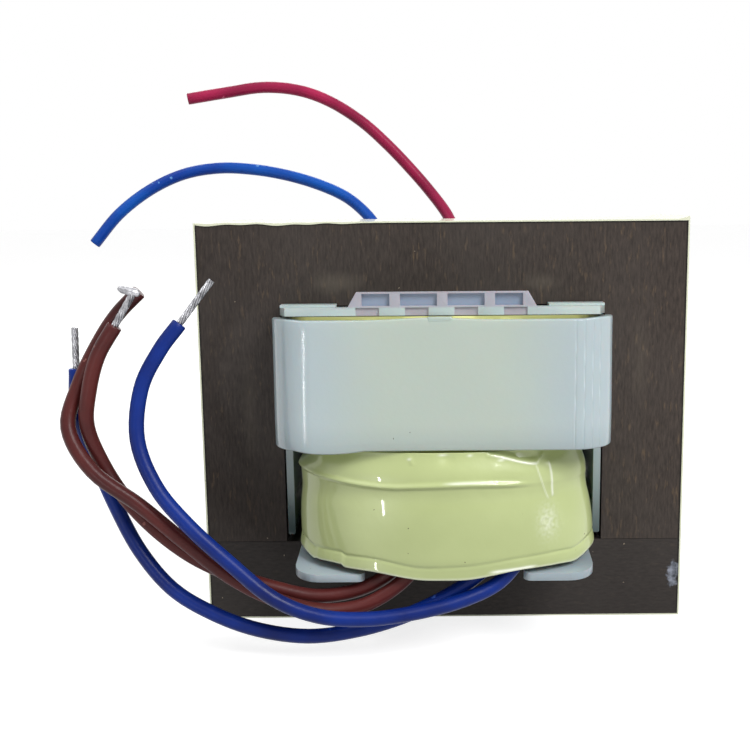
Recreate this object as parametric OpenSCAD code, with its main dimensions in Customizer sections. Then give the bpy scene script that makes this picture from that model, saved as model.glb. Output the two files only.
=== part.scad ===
// Laminated chassis transformer: an interleaved EI core on a split bobbin, with
// its primary under a clip-on cover, its secondary under tape, and six leads.
// Millimetres. +Z is up, +X is the core's width, +Y runs through the stack. The
// origin is the middle of the footprint, and the core stands on its taped base.

/* [Core] */
// Width of the centre leg
tongue_w = 22; // [20:0.5:26]
// Width of each outer leg
leg_w = 11; // [9:0.5:14]
// Width of each winding window
window_w = 11; // [10.5:0.5:14]
// Height of each winding window
window_h = 33; // [31:0.5:40]
// Height of the E sheet's back
back_h = 11; // [9:0.5:14]
// Height of the I bar
bar_h = 11; // [11:0.5:14]
// Thickness of one steel sheet
sheet_t = 0.5; // [0.35:0.05:0.65]
// Film of scale and varnish between two sheets
sheet_gap = 0.01; // [0.01:0.01:0.03]
// Number of sheets in the stack, always odd
sheet_count = 51; // [41:2:61]
// Gap between a leg's end and the I bar
butt_gap = 0.05; // [0.02:0.01:0.1]

/* [Core tape] */
// Thickness of the turns of tape round the core
core_tape_t = 0.2; // [0.1:0.05:0.5]
// Length of the tape's loose end
flap_len = 1.6; // [0.8:0.1:4]
// Height to which the loose end lifts
flap_lift = 0.4; // [0.1:0.05:0.8]

/* [Bobbin] */
// Clearance between the core and the bobbin's tube
tube_clear = 0.2; // [0.1:0.05:0.4]
// Wall of the bobbin's tube
tube_wall = 1; // [0.8:0.1:1.5]
// Thickness of the end flanges
flange_t = 1; // [0.8:0.1:1.3]
// Thickness of the flange between the two windings
mid_flange_t = 0.9; // [0.7:0.1:1.3]
// Clearance between an end flange and the core's window
flange_clear = 0.2; // [0.1:0.05:0.4]
// How far the end flanges stand out of the stack at the front and the rear
flange_reach = 14.4; // [13:0.2:17]
// How far an end flange is narrowed on each side from the core to its free edge
flange_taper = 2.2; // [1:0.2:4]
// Rise of the top flange's free edge
top_flare = 1.1; // [0.6:0.1:1.5]
// Sag of the bottom flange's free edge
bottom_sag = 1.5; // [0.5:0.1:2]
// Height of the middle flange's underside above the bottom flange
lower_section_h = 14.6; // [13:0.2:16]
// Half width of the gap for leads in the bottom flange
lead_gap_half = 10; // [9:0.5:11]
// Depth of the gap for leads in the bottom flange
lead_gap_depth = 4.5; // [3:0.5:6]
// Corner radius of the bottom flange's lips
lip_r = 3.5; // [2:0.5:4]

/* [Lead comb] */
// Width of the comb at its foot
comb_w = 23.4; // [21:0.2:26]
// Height of the comb
comb_h = 1.9; // [1.4:0.1:2.5]
// Thickness of the comb
comb_t = 0.8; // [0.6:0.1:1.2]
// Inward lean of each end of the comb
comb_lean = 1.1; // [0.4:0.1:2]
// Thickness of the film that closes each of the comb's windows
comb_film_t = 0.25; // [0.2:0.05:0.5]
// Width of the ribs between the comb's windows
comb_rib_w = 1.3; // [0.8:0.1:2]
// Width of each lead notch in the top flange
notch_w = 2.9; // [2.4:0.1:3.2]
// Distance from one lead notch to the next
notch_pitch = 6.1; // [5:0.1:6.4]
// Sideways place of the first lead notch
notch_first = -9.25; // [-10:0.05:-8.5]
// How far the film across each lead notch lies back from the flange's edge
notch_recess = 0.25; // [0.1:0.05:0.4]
// Width of the raised pad on each side of the top flange
pad_w = 7.4; // [5:0.2:9]
// Depth of that pad
pad_depth = 2.4; // [1.5:0.1:4]
// Height of that pad
pad_h = 0.5; // [0.3:0.1:0.9]
// Frame left above and below the comb's windows
comb_frame = 0.2; // [0.15:0.05:0.4]

/* [Covers] */
// Clearance between a cover's arm and the core's outer leg
cover_clear = 0.35; // [0.2:0.05:0.6]
// Wall of a cover's face
cover_wall = 1.2; // [0.9:0.1:1.5]
// Wall of a cover's arm inside the window
arm_wall = 1; // [0.8:0.1:1.2]
// How far a cover's face stands out of the stack
cover_reach = 15.4; // [14:0.2:18]
// Outer radius of a cover's upright corners
cover_r = 5.5; // [4:0.5:7]
// Gap between a cover's rim and the top flange's free edge
cover_gap = 0.5; // [0.4:0.05:0.8]
// How far a cover's lower edge laps over the middle flange
cover_lap = 0.2; // [-0.2:0.1:0.4]
// How far a cover's arm stands out of the window
arm_out = 1; // [0.6:0.1:2]
// Width of the catch on a cover's rim
catch_w = 3; // [2:0.1:4]
// Thickness of that catch
catch_t = 0.7; // [0.5:0.1:1]
// Sideways place of that catch's middle
catch_x = -0.3; // [-2:0.1:2]
// Clearance above that catch, which nearly fills the gap
catch_clear = 0.1; // [0.05:0.05:0.2]
// Width of the arched lip under a cover's lower edge
foot_w = 8.6; // [6:0.2:9]
// Height of that lip in its middle
foot_h = 0.4; // [0.2:0.1:0.6]
// Sideways place of that lip's middle
foot_x = -14.4; // [-15:0.1:-11]
// Radius of the hinge lines scored in one corner
score_r = 0.15; // [0.1:0.05:0.25]
// Number of those hinge lines
score_count = 4; // [2:1:6]

/* [Windings] */
// Build of the primary's copper in the window
primary_build = 7.5; // [6:0.1:7.6]
// Build of the primary's copper on its open sides
primary_open_build = 10.2; // [8:0.1:10.4]
// Build of the inner secondary in the window
inner_build = 2.9; // [1.5:0.1:3.4]
// Build of the inner secondary on its open sides
inner_open_build = 5.2; // [3:0.1:6]
// Build of the outer secondary in the window
outer_build = 2; // [1:0.1:2.1]
// Build of the outer secondary on its open sides
outer_open_build = 5.1; // [3:0.1:5.2]
// Thickness of the tape wound over each winding
wrap_t = 0.15; // [0.1:0.05:0.25]
// Clearance between a winding and what it is wound on or under
wind_clear = 0.05; // [0.03:0.01:0.1]
// Space between each winding's wrap and its outer tape, which holds the leads
lead_space = 2.1; // [2:0.05:2.3]

/* [Outer tape] */
// Thickness of the outer tape's turns
outer_tape_t = 0.3; // [0.2:0.05:0.5]
// Room between the secondary's wrap and its outer tape in the windows
side_room = 1.35; // [1.25:0.05:1.85]
// Room between them in front, where that tape bellies out over the leads
front_room = 4.45; // [4.2:0.05:5.5]
// Room between them at the rear
rear_room = 2.65; // [2.4:0.05:3.5]
// How far out of the stack its front corners begin to turn
belly_turn = 6; // [4:0.5:8]
// Fullness of its front corners: 2 is an ellipse, more is squarer
belly_power = 2; // [1.8:0.1:3]
// How far its sides spread from the front of the stack to the rear
rear_spread = 1.2; // [0.5:0.1:1.3]

/* [Leads] */
// Diameter of the leads over their insulation
lead_d = 1.9; // [1.6:0.1:1.9]
// Diameter of the bared and tinned strands
strand_d = 0.85; // [0.6:0.05:1]
// Diameter of the soldered joints under the outer tape
joint_d = 1.3; // [1:0.1:1.5]
// Length of those joints
joint_len = 3.2; // [2:0.2:4]
// Length of the bared strands on blue lead A
strand_a_len = 6.6; // [4:0.2:9]
// Length of the bared strands on blue lead B
strand_b_len = 5.2; // [4:0.2:9]
// Length of the bared strands on brown lead A up to their solder knob
strand_c_len = 4.8; // [3:0.2:6]
// Diameter of the solder knob
knob_d = 1.5; // [1.1:0.1:2]
// Length of the stub of strands beyond the knob
knob_stub = 2; // [1:0.2:3]

/* [Hidden] */

$fn = 48;
eps = 0.01;          // overlap of cutting bodies
lead_sides = 8;      // sides of a lead's section
score_from = 51;     // angle of the first hinge line round its corner
score_span = 36;     // angle over which the hinge lines are spread
gap_r = 1;           // corner radius of the lips beside the gap for leads
belly_steps = 12;    // points in a quarter of the outer tape's outline
rear_turn = 5;       // depth over which an outer tape's rear corners turn
rear_power = 3;      // fullness of those corners
stub_run = [-1, 0.1, 0.5];      // direction of the tip that is turned back at the knob

// Core, from the base upwards
core_w = tongue_w + 2 * window_w + 2 * leg_w;
sheet_pitch = sheet_t + sheet_gap;
stack = sheet_count * sheet_pitch - sheet_gap;
stack_half = stack / 2;
base_z = core_tape_t;
bar_top = base_z + bar_h;
window_top = bar_top + window_h;
core_top = window_top + back_h;
window_out = tongue_w / 2 + window_w;

// Bobbin
tube_in_x = tongue_w / 2 + tube_clear;
tube_in_y = stack_half + tube_clear;
tube_x = tube_in_x + tube_wall;
tube_y = tube_in_y + tube_wall;
bobbin_z = bar_top + flange_clear;
bobbin_top = window_top - flange_clear;
floor_z = bobbin_z + flange_t;
ceiling_z = bobbin_top - flange_t;
mid_z = floor_z + lower_section_h;
mid_top = mid_z + mid_flange_t;
flange_x = window_out - cover_clear;
flange_y = stack_half + flange_reach;
flange_edge_x = flange_x - flange_taper;

// Covers
cover_x = window_out - cover_clear;
cover_y = stack_half + cover_reach;
arm_in = cover_x - arm_wall;
cover_z = mid_z + cover_lap;

// Winding outlines: half width in the window, then the depth on the open sides
primary_x = tube_x + primary_build;
primary_y = tube_y + primary_open_build;
inner_x = tube_x + inner_build;
inner_y = tube_y + inner_open_build;
outer_from_x = inner_x + wrap_t + 2 * wind_clear;
outer_from_y = inner_y + wrap_t + 2 * wind_clear;
outer_x = outer_from_x + outer_build;
outer_y = outer_from_y + outer_open_build;
tube_r = 0.8;        // outer corner radius of the tube and the first turns
inner_r = 2;         // corner radius of the inner secondary
winding_r = 3.6;     // corner radius of the full primary
outer_r = 6;         // corner radius of the full secondary
belly_half = outer_x + wind_clear + wrap_t + side_room;
belly_front = outer_y + wind_clear + wrap_t + front_room;
belly_rear = outer_y + wind_clear + wrap_t + rear_room;

// Routes of the leads, from under the tape to the cut end
red_primary_route = [[3.1, 25.6, 40], [3.1, 25.6, 43.5], [3.1, 25.6, 47],
    [2.9, 26.2, 50.2], [2.2, 27.7, 53.2], [0.8, 30, 56.2], [-1.9, 32, 59.8],
    [-5, 33.2, 63.4], [-9, 34.2, 67.6], [-13.6, 35, 71.7], [-19, 35.8, 75.1],
    [-24.4, 36, 77], [-30.4, 35.8, 77.5], [-36.5, 35, 76.6], [-42.9, 34, 75.5]];
blue_primary_route = [[-8.9, 25.6, 40], [-8.9, 25.6, 43.5], [-8.9, 25.6, 47],
    [-9.3, 26.3, 50.2], [-10.5, 28, 53.2], [-12.8, 30, 56.2], [-16.3, 31.9, 59],
    [-21, 33.2, 61.1], [-26.4, 34, 62.7], [-32, 34.2, 63.7], [-38, 34, 64],
    [-44, 33.2, 63], [-49.6, 32.2, 60.4], [-54.8, 31, 56.4], [-59, 30, 51.4]];
blue_a_route = [[11, -25.9, 15.2], [9.4, -25.95, 11.9], [6.6, -26.8, 9.2],
    [2, -28.4, 7.6], [-3.6, -29.8, 6.6], [-9.8, -31, 6.2], [-15.8, -31.7, 6.9],
    [-21.4, -31.8, 9.3], [-26.8, -31.7, 14], [-31.6, -31.4, 18.6], [-35.5, -30.8, 23.4],
    [-37.8, -29.7, 29.2], [-37.3, -28.6, 35.4], [-35, -27.8, 40], [-32.5, -27, 43.3]];
blue_b_route = [[7.4, -26.4, 15], [6, -26.4, 12.3], [3.6, -26.4, 9.8], [-0.4, -26.6, 7.3],
    [-5.6, -27.3, 5.1], [-11.4, -27.9, 3.6], [-17.6, -28.3, 3], [-24, -28.2, 3.9],
    [-29.8, -27.8, 6], [-35.1, -26.8, 9], [-39.2, -25.8, 13.7], [-42.2, -25, 19.4],
    [-44.8, -24.5, 26], [-46.6, -24.3, 32], [-46.5, -24.2, 37.4]];
brown_a_route = [[-4, -26.2, 15.4], [-5.3, -26.1, 12.8], [-7.6, -25.9, 10.2], [-11.6, -26, 8.3],
    [-16.7, -26.8, 7.9], [-22, -27.2, 9.2], [-27.4, -27.2, 11], [-32.2, -27.2, 13.4],
    [-36.6, -27.2, 16.9], [-40.4, -27, 21.1], [-43.1, -26.8, 25.6], [-44.6, -27.4, 30.6],
    [-43.9, -28, 35.2], [-42.5, -28.2, 39.5], [-40.2, -28.2, 43.2]];
brown_b_route = [[-1.8, -26.8, 16], [-3.2, -26.9, 12.6], [-5.9, -27.3, 9.5], [-10.4, -28, 7],
    [-15.8, -28.9, 6.7], [-21.6, -29.4, 8.4], [-27.2, -29.5, 11.5], [-32.6, -29.5, 16],
    [-38, -29.5, 20.8], [-43.7, -29.3, 25.2], [-46.9, -27.7, 30.4], [-45.7, -26.1, 35.6],
    [-43.2, -26, 40.4], [-40.6, -25.9, 44.2], [-37.6, -25.8, 47.2]];

// ---------- helpers ----------

function unit(v) = v / norm(v);

// Height that the top flange has gained, or the bottom flange lost, at depth y
function slope_at(y) = max(0, (abs(y) - tube_in_y) / (flange_y - tube_in_y));
function ceiling_at(y) = ceiling_z + top_flare * slope_at(y);
function floor_at(y) = floor_z - bottom_sag * slope_at(y);

// Rectangle of half width hx and half depth hy with true arcs at its corners
module round_rect(hx, hy, r) {
    square([2 * hx - 2 * r, 2 * hy], center = true);
    square([2 * hx, 2 * hy - 2 * r], center = true);
    for (sx = [-1, 1], sy = [-1, 1])
        translate([sx * (hx - r), sy * (hy - r)]) circle(r = r);
}

// Upright ring between an inner and an outer rounded rectangle
module coil_ring(z0, z1, in_x, in_y, in_r, out_x, out_y, out_r) {
    translate([0, 0, z0]) linear_extrude(z1 - z0) difference() {
        round_rect(out_x, out_y, out_r);
        round_rect(in_x, in_y, in_r);
    }
}

// Both halves of what the front and the rear of the part share
module front_and_rear() {
    children();
    rotate(180) children();
}

// Quads between two rings whose points start at a and b and run on n at a time
function band(a, b, n) = [for (i = [0:n - 1])
    [a + i, a + (i + 1) % n, b + (i + 1) % n, b + i]];

// Closed skin through a list of rings with equal numbers of points, each of which
// runs clockwise as seen from beyond the last ring
module loft(rings) {
    n = len(rings[0]);
    last = len(rings) - 1;
    polyhedron(points = [for (ring = rings) each ring],
        faces = concat([for (k = [0:last - 1]) each band(k * n, (k + 1) * n, n)],
            [[for (i = [n - 1:-1:0]) i]], [[for (i = [0:n - 1]) last * n + i]]),
        convexity = 6);
}

// Open tube between two lists of such rings, with as many rings within as without
module sleeve(outer, inner) {
    n = len(outer[0]);
    last = len(outer) - 1;
    m = n * (last + 1);      // where the inner rings' points start
    polyhedron(points = concat([for (ring = outer) each ring], [for (ring = inner) each ring]),
        faces = concat([for (k = [0:last - 1]) each band(k * n, (k + 1) * n, n)],
            [for (k = [0:last - 1]) each band(m + (k + 1) * n, m + k * n, n)],
            band(last * n, m + last * n, n), band(m, 0, n)),
        convexity = 8);
}

// Ring of a lead's skin, square to the mean of the two runs that meet at a point
function lead_ring(route, k, d) = let(
    a = route[max(0, k - 1)],
    b = route[min(len(route) - 1, k + 1)],
    run = unit(b - a),
    side = unit(cross(run, [0, 1, 0])),
    up = cross(side, run))
    [for (i = [0:lead_sides - 1]) let(t = 360 * i / lead_sides)
        route[k] + d / 2 * (cos(t) * side + sin(t) * up)];

module lead(route) {
    loft([for (k = [0:len(route) - 1]) lead_ring(route, k, lead_d)]);
}

// Round rod from one point to another
module rod(a, b, d) {
    run = b - a;
    translate(a)
        rotate([0, acos(run[2] / norm(run)), atan2(run[1], run[0])])
            cylinder(d = d, h = norm(run));
}

// Soldered joint that carries on the line of a lead's first run
module joint(route) {
    back = unit(route[0] - route[1]);
    rod(route[0], route[0] + joint_len * back, joint_d);
}

// ---------- core ----------

// Outline of an E sheet with its back at the top
module e_outline() {
    polygon([[-core_w / 2, bar_top + butt_gap], [-core_w / 2, core_top], [core_w / 2, core_top],
        [core_w / 2, bar_top + butt_gap], [window_out, bar_top + butt_gap],
        [window_out, window_top], [tongue_w / 2, window_top],
        [tongue_w / 2, bar_top + butt_gap], [-tongue_w / 2, bar_top + butt_gap],
        [-tongue_w / 2, window_top], [-window_out, window_top],
        [-window_out, bar_top + butt_gap]]);
}

module i_outline() {
    translate([-core_w / 2, base_z]) square([core_w, bar_h]);
}

// Stands a sheet's outline up at its place in the stack
module sheet(index) {
    translate([0, -stack_half + index * sheet_pitch + sheet_t, 0])
        rotate([90, 0, 0]) linear_extrude(sheet_t) children();
}

// The same outline with its top and bottom changed over
module flipped() {
    translate([0, base_z + core_top]) mirror([0, 1]) children();
}

module front_e_lamination() { color("#40352f") sheet(0) e_outline(); }
module rear_e_lamination() { color("#40352f") sheet(sheet_count - 1) e_outline(); }
module front_i_lamination() { color("#2f2a27") sheet(0) i_outline(); }
module rear_i_lamination() { color("#2f2a27") sheet(sheet_count - 1) i_outline(); }

module inner_e_laminations() {
    color("#40352f") for (i = [2:2:sheet_count - 3]) sheet(i) e_outline();
}

module inner_i_laminations() {
    color("#2f2a27") for (i = [2:2:sheet_count - 3]) sheet(i) i_outline();
}

module flipped_e_laminations() {
    color("#3a302b") for (i = [1:2:sheet_count - 2]) sheet(i) flipped() e_outline();
}

module flipped_i_laminations() {
    color("#3a302b") for (i = [1:2:sheet_count - 2]) sheet(i) flipped() i_outline();
}

// Tape wound round the core's four narrow sides, with its end lifting at a corner
module core_tape() {
    right = core_w / 2 + core_tape_t;
    top = core_top + core_tape_t;
    color("#d8d9b8") translate([0, stack_half, 0]) rotate([90, 0, 0])
        linear_extrude(stack) difference() {
            polygon([[-right, 0], [-right, top], [right - 2 * core_tape_t, top],
                [right - flap_len - core_tape_t, top + flap_lift],
                [right - flap_len, top + flap_lift], [right, top], [right, 0]]);
            translate([-core_w / 2, base_z]) square([core_w, core_top - base_z]);
        }
}

// ---------- bobbin ----------

// One side of an end flange: a plate that slopes from the core to its free edge
module sloped_plate(z_in, z_out) {
    loft([for (end = [[tube_in_y - eps, flange_x, z_in], [flange_y, flange_x, z_out]])
        [[-end[1], -end[0], end[2] + flange_t], [end[1], -end[0], end[2] + flange_t],
            [end[1], -end[0], end[2]], [-end[1], -end[0], end[2]]]]);
}

// Plan of an end flange in front of the core, narrower towards its free edge
module flange_plan() {
    polygon([[-flange_x, -tube_in_y + eps], [-flange_x, -stack_half - pad_depth],
        [-flange_edge_x, -flange_y], [flange_edge_x, -flange_y],
        [flange_x, -stack_half - pad_depth], [flange_x, -tube_in_y + eps]]);
}

module top_wing() {
    intersection() {
        sloped_plate(ceiling_z, ceiling_z + top_flare);
        linear_extrude(core_top) difference() {
            flange_plan();
            for (k = [0:3])
                translate([notch_first + k * notch_pitch - notch_w / 2, -flange_y]) {
                    translate([0, -eps]) square([notch_w, notch_recess + eps]);
                    translate([0, notch_recess + comb_film_t])
                        square([notch_w, comb_t + lead_space - notch_recess - comb_film_t]);
                }
        }
    }
}

// Plan of the bottom flange's two lips, with the gap for leads between them
module lip_plan() {
    offset(r = gap_r) offset(delta = -gap_r) difference() {
        offset(r = lip_r) offset(delta = -lip_r)
            square([2 * flange_edge_x, 2 * flange_y], center = true);
        translate([0, -flange_y])
            polygon([[-lead_gap_half, -lead_gap_depth], [-lead_gap_half, 0],
                [-lead_gap_half - gap_r, lead_gap_depth], [lead_gap_half + gap_r, lead_gap_depth],
                [lead_gap_half, 0], [lead_gap_half, -lead_gap_depth]]);
    }
}

module bottom_wing() {
    intersection() {
        sloped_plate(bobbin_z, bobbin_z - bottom_sag);
        linear_extrude(core_top) lip_plan();
    }
}

// Upright plate on the top flange's free edge, with four windows closed by film
module comb() {
    foot_z = bobbin_top + top_flare - eps;
    step = comb_w / 4;
    translate([0, -flange_y, foot_z]) difference() {
        translate([0, comb_t, 0]) rotate([90, 0, 0]) linear_extrude(comb_t)
            polygon([[-comb_w / 2, 0], [-comb_w / 2 + comb_lean, comb_h],
                [comb_w / 2 - comb_lean, comb_h], [comb_w / 2, 0]]);
        for (k = [0:3]) {
            from = -comb_w / 2 + k * step + comb_rib_w / 2 + (k == 0 ? comb_lean : 0);
            to = -comb_w / 2 + (k + 1) * step - comb_rib_w / 2 - (k == 3 ? comb_lean : 0);
            translate([from, -eps, comb_frame])
                cube([to - from, comb_t - comb_film_t, comb_h - 2 * comb_frame]);
        }
    }
}

// Raised pads on the top flange, against the core's face
module pads() {
    for (side = [-1, 1])
        translate([side * (flange_x - pad_w / 2) - pad_w / 2, -stack_half - pad_depth,
            bobbin_top - eps])
            cube([pad_w, pad_depth - tube_clear, pad_h]);
}

module bobbin() {
    color("#aeb9c4") difference() {
        union() {
            coil_ring(bobbin_z, bobbin_top, tube_in_x, tube_in_y, eps, tube_x, tube_y, tube_r);
            for (plate = [[flange_edge_x, bobbin_z], [flange_x, ceiling_z]])
                translate([-plate[0], -tube_in_y, plate[1]])
                    cube([2 * plate[0], 2 * tube_in_y, flange_t]);
            coil_ring(mid_z, mid_top, tube_in_x, tube_in_y, eps, primary_x, primary_y, winding_r);
            front_and_rear() {
                top_wing();
                bottom_wing();
                comb();
                pads();
            }
        }
        translate([-tube_in_x, -tube_in_y, 0]) cube([2 * tube_in_x, 2 * tube_in_y, core_top]);
    }
}

// ---------- covers ----------

// Plan of a cover: its face, its two rounded corners and its arms
module cover_plan(inner, depth) {
    hx = inner ? arm_in : cover_x;
    hy = inner ? cover_y - cover_wall : cover_y;
    r = inner ? cover_r - cover_wall : cover_r;
    intersection() {
        round_rect(hx, hy, r);
        translate([-cover_x, -cover_y]) square([2 * cover_x, depth]);
    }
}

// Lip that hangs under the lower edge as a shallow arch and follows the corner
module cover_foot() {
    arch_r = (foot_w * foot_w / 4 + foot_h * foot_h) / (2 * foot_h);
    intersection() {
        translate([0, 0, cover_z - foot_h]) linear_extrude(foot_h + eps)
            cover_plan(false, cover_r);
        translate([foot_x, -cover_y - eps, cover_z - foot_h + arch_r])
            rotate([-90, 0, 0]) cylinder(r = arch_r, h = cover_r + eps, $fn = 360);
    }
}

module cover() {
    reach_in = cover_y - wind_clear;      // depth from the face to the parting line
    face_top = ceiling_z + top_flare - cover_gap;
    arm_top = ceiling_z - wind_clear;
    // Depth at which the rising flange has cleared the face's full height
    rise_y = tube_in_y + (face_top + wind_clear - ceiling_z) / top_flare * (flange_y - tube_in_y);
    difference() {
        union() {
            translate([0, 0, cover_z]) linear_extrude(arm_top - cover_z)
                cover_plan(false, reach_in);
            translate([0, 0, cover_z]) linear_extrude(face_top - cover_z)
                cover_plan(false, cover_y - rise_y);
            translate([-cover_x, -stack_half - arm_out, floor_z + wind_clear])
                cube([2 * cover_x, stack_half + arm_out - wind_clear,
                    cover_z - floor_z]);
            translate([catch_x - catch_w / 2, -cover_y, face_top - eps])
                cube([catch_w, catch_t, cover_gap - catch_clear + eps]);
            cover_foot();
        }
        translate([0, 0, floor_z]) linear_extrude(core_top) cover_plan(true, cover_y);
        for (k = [0:score_count - 1]) let(t = score_from + score_span * k / max(1, score_count - 1))
            translate([cover_x - cover_r + cover_r * cos(t),
                -cover_y + cover_r - cover_r * sin(t), cover_z - eps])
                cylinder(r = score_r, h = face_top - cover_z + 2 * eps, $fn = 16);
    }
}

module front_cover() { color("#c4d2cf") cover(); }
module rear_cover() { color("#c4d2cf") rotate(180) cover(); }

// ---------- windings ----------

primary_z0 = mid_top + wind_clear;
primary_z1 = ceiling_z - wind_clear;
secondary_z0 = floor_z + wind_clear;
secondary_z1 = mid_z - wind_clear;

module primary_winding() {
    color("#b5622d") coil_ring(primary_z0, primary_z1,
        tube_x + wind_clear, tube_y + wind_clear, tube_r, primary_x, primary_y, winding_r);
}

module primary_wrap() {
    color("#dfe08c") coil_ring(primary_z0, primary_z1,
        primary_x + wind_clear, primary_y + wind_clear, winding_r,
        primary_x + wind_clear + wrap_t, primary_y + wind_clear + wrap_t, winding_r + wrap_t);
}

module inner_secondary() {
    color("#b5622d") coil_ring(secondary_z0, secondary_z1,
        tube_x + wind_clear, tube_y + wind_clear, tube_r, inner_x, inner_y, inner_r);
}

module interlayer_wrap() {
    color("#dfe08c") coil_ring(secondary_z0, secondary_z1,
        inner_x + wind_clear, inner_y + wind_clear, inner_r,
        inner_x + wind_clear + wrap_t, inner_y + wind_clear + wrap_t, inner_r + wrap_t);
}

module outer_secondary() {
    color("#b5622d") coil_ring(secondary_z0, secondary_z1,
        outer_from_x, outer_from_y, inner_r + wrap_t, outer_x, outer_y, outer_r);
}

module secondary_wrap() {
    color("#dfe08c") coil_ring(secondary_z0, secondary_z1,
        outer_x + wind_clear, outer_y + wind_clear, outer_r,
        outer_x + wind_clear + wrap_t, outer_y + wind_clear + wrap_t, outer_r + wrap_t);
}

primary_joints_routes = [red_primary_route, blue_primary_route];
secondary_joints_routes = [blue_a_route, blue_b_route, brown_a_route, brown_b_route];

module primary_joints() { color("#b8bcc0") for (r = primary_joints_routes) joint(r); }
module secondary_joints() { color("#b8bcc0") for (r = secondary_joints_routes) joint(r); }

// ---------- outer tapes ----------

// Quarter of a tape's outline: half width hx, turning from y0 out to y1
function quarter(hx, y0, y1, power) = [for (i = [0:belly_steps]) let(t = 90 * i / belly_steps)
    [hx * pow(cos(t), 2 / power), y0 + (y1 - y0) * pow(sin(t), 2 / power)]];

// Whole outline, clockwise from the front right, grown by g, with the rear half
// as much wider on each side as spread says
function belly(hx, spread, front, front_turn, front_power, rear, g) = let(
    f = quarter(hx + g, front_turn, front + g, front_power),
    b = quarter(hx + spread + g, rear - rear_turn, rear + g, rear_power),
    last = belly_steps)
    concat([for (i = [0:last]) [f[i][0], -f[i][1]]],
        [for (i = [last - 1:-1:0]) [-f[i][0], -f[i][1]]],
        [[-hx - g, -tube_in_y], [-hx - spread - g, tube_in_y]],
        [for (i = [0:last]) [-b[i][0], b[i][1]]],
        [for (i = [last - 1:-1:0]) b[i]],
        [[hx + spread + g, tube_in_y], [hx + g, -tube_in_y]]);

// Swell of the secondary's tape: share of its height, then growth of its outline
secondary_swell = [[0, -0.7], [0.05, -0.25], [0.13, 0], [0.14, 0.12], [0.3, 0.25], [0.55, 0.1],
    [0.75, -0.15], [0.82, 0.15], [0.86, 0.1], [0.88, -0.3], [1, -0.8]];

// The secondary's tape sags with the lips in front and stands level at the rear
module secondary_outer_tape() {
    function skin(shrink) = [for (s = secondary_swell)
        [for (p = belly(belly_half, rear_spread, belly_front, stack_half + belly_turn,
                belly_power, belly_rear, s[1] - shrink))
            let(low = floor_at(p[1] < 0 ? p[1] : 0) + wind_clear)
            [p[0], p[1], low + (secondary_z1 - low) * s[0]]]];
    color("#d5dd96") sleeve(skin(0), skin(outer_tape_t));
}

// The primary's tape fills its cover and follows the top flange's rise
module primary_outer_tape() {
    depth = cover_y - cover_wall - 2 * wind_clear;
    function skin(shrink) = let(outline = belly(arm_in - 2 * wind_clear, 0, depth,
            cover_y - cover_r, 2, depth, -shrink))
        [[for (p = outline) [p[0], p[1], primary_z0]],
            [for (p = outline) [p[0], p[1], ceiling_at(p[1]) - 2 * wind_clear]]];
    color("#dbe08a") sleeve(skin(0), skin(outer_tape_t));
}

// ---------- leads ----------

module red_primary_lead() { color("#a02a55") lead(red_primary_route); }
module blue_primary_lead() { color("#0f3c96") lead(blue_primary_route); }
module blue_lead_a() { color("#122d87") lead(blue_a_route); }
module blue_lead_b() { color("#122d87") lead(blue_b_route); }
module brown_lead_a() { color("#5f2d2a") lead(brown_a_route); }
module brown_lead_b() { color("#5f2d2a") lead(brown_b_route); }

// Point that lies a length beyond a route's end, on the line of its last run
function beyond(route, length) = let(last = len(route) - 1)
    route[last] + length * unit(route[last] - route[last - 1]);

module strands(route, length) {
    rod(route[len(route) - 1], beyond(route, length), strand_d);
}

module strands_a() { color("#bebec3") strands(blue_a_route, strand_a_len); }
module strands_b() { color("#bebec3") strands(blue_b_route, strand_b_len); }

// Bared strands that end in a knob of solder, with their tip turned back
module strands_c() {
    knob = beyond(brown_a_route, strand_c_len);
    color("#bebec3") {
        strands(brown_a_route, strand_c_len);
        translate(knob) sphere(d = knob_d, $fn = 24);
        rod(knob, knob + knob_stub * unit(stub_run), strand_d);
    }
}

front_e_lamination();
rear_e_lamination();
front_i_lamination();
rear_i_lamination();
inner_e_laminations();
inner_i_laminations();
flipped_e_laminations();
flipped_i_laminations();
core_tape();
bobbin();
front_cover();
rear_cover();
primary_winding();
primary_wrap();
primary_outer_tape();
inner_secondary();
interlayer_wrap();
outer_secondary();
secondary_wrap();
secondary_outer_tape();
primary_joints();
secondary_joints();
red_primary_lead();
blue_primary_lead();
blue_lead_a();
blue_lead_b();
brown_lead_a();
brown_lead_b();
strands_a();
strands_b();
strands_c();
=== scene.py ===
# %% [markdown]
# # A laminated mains transformer
#
# This lesson dresses a finished CAD model of a small mains transformer: a stack of
# steel sheets, a plastic bobbin with two taped windings, clip-on covers and six leads.
# The CAD model gives every size. What is made here is each piece's finish, and the
# soft or fine shapes that a CAD solid leaves plain.
#
# Everything is in metres, with +Z up and the front towards -Y.

from contextlib import contextmanager
from math import cos, exp, pi, radians, sin

import bmesh
import bpy
from mathutils import Matrix, Vector, noise


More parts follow.
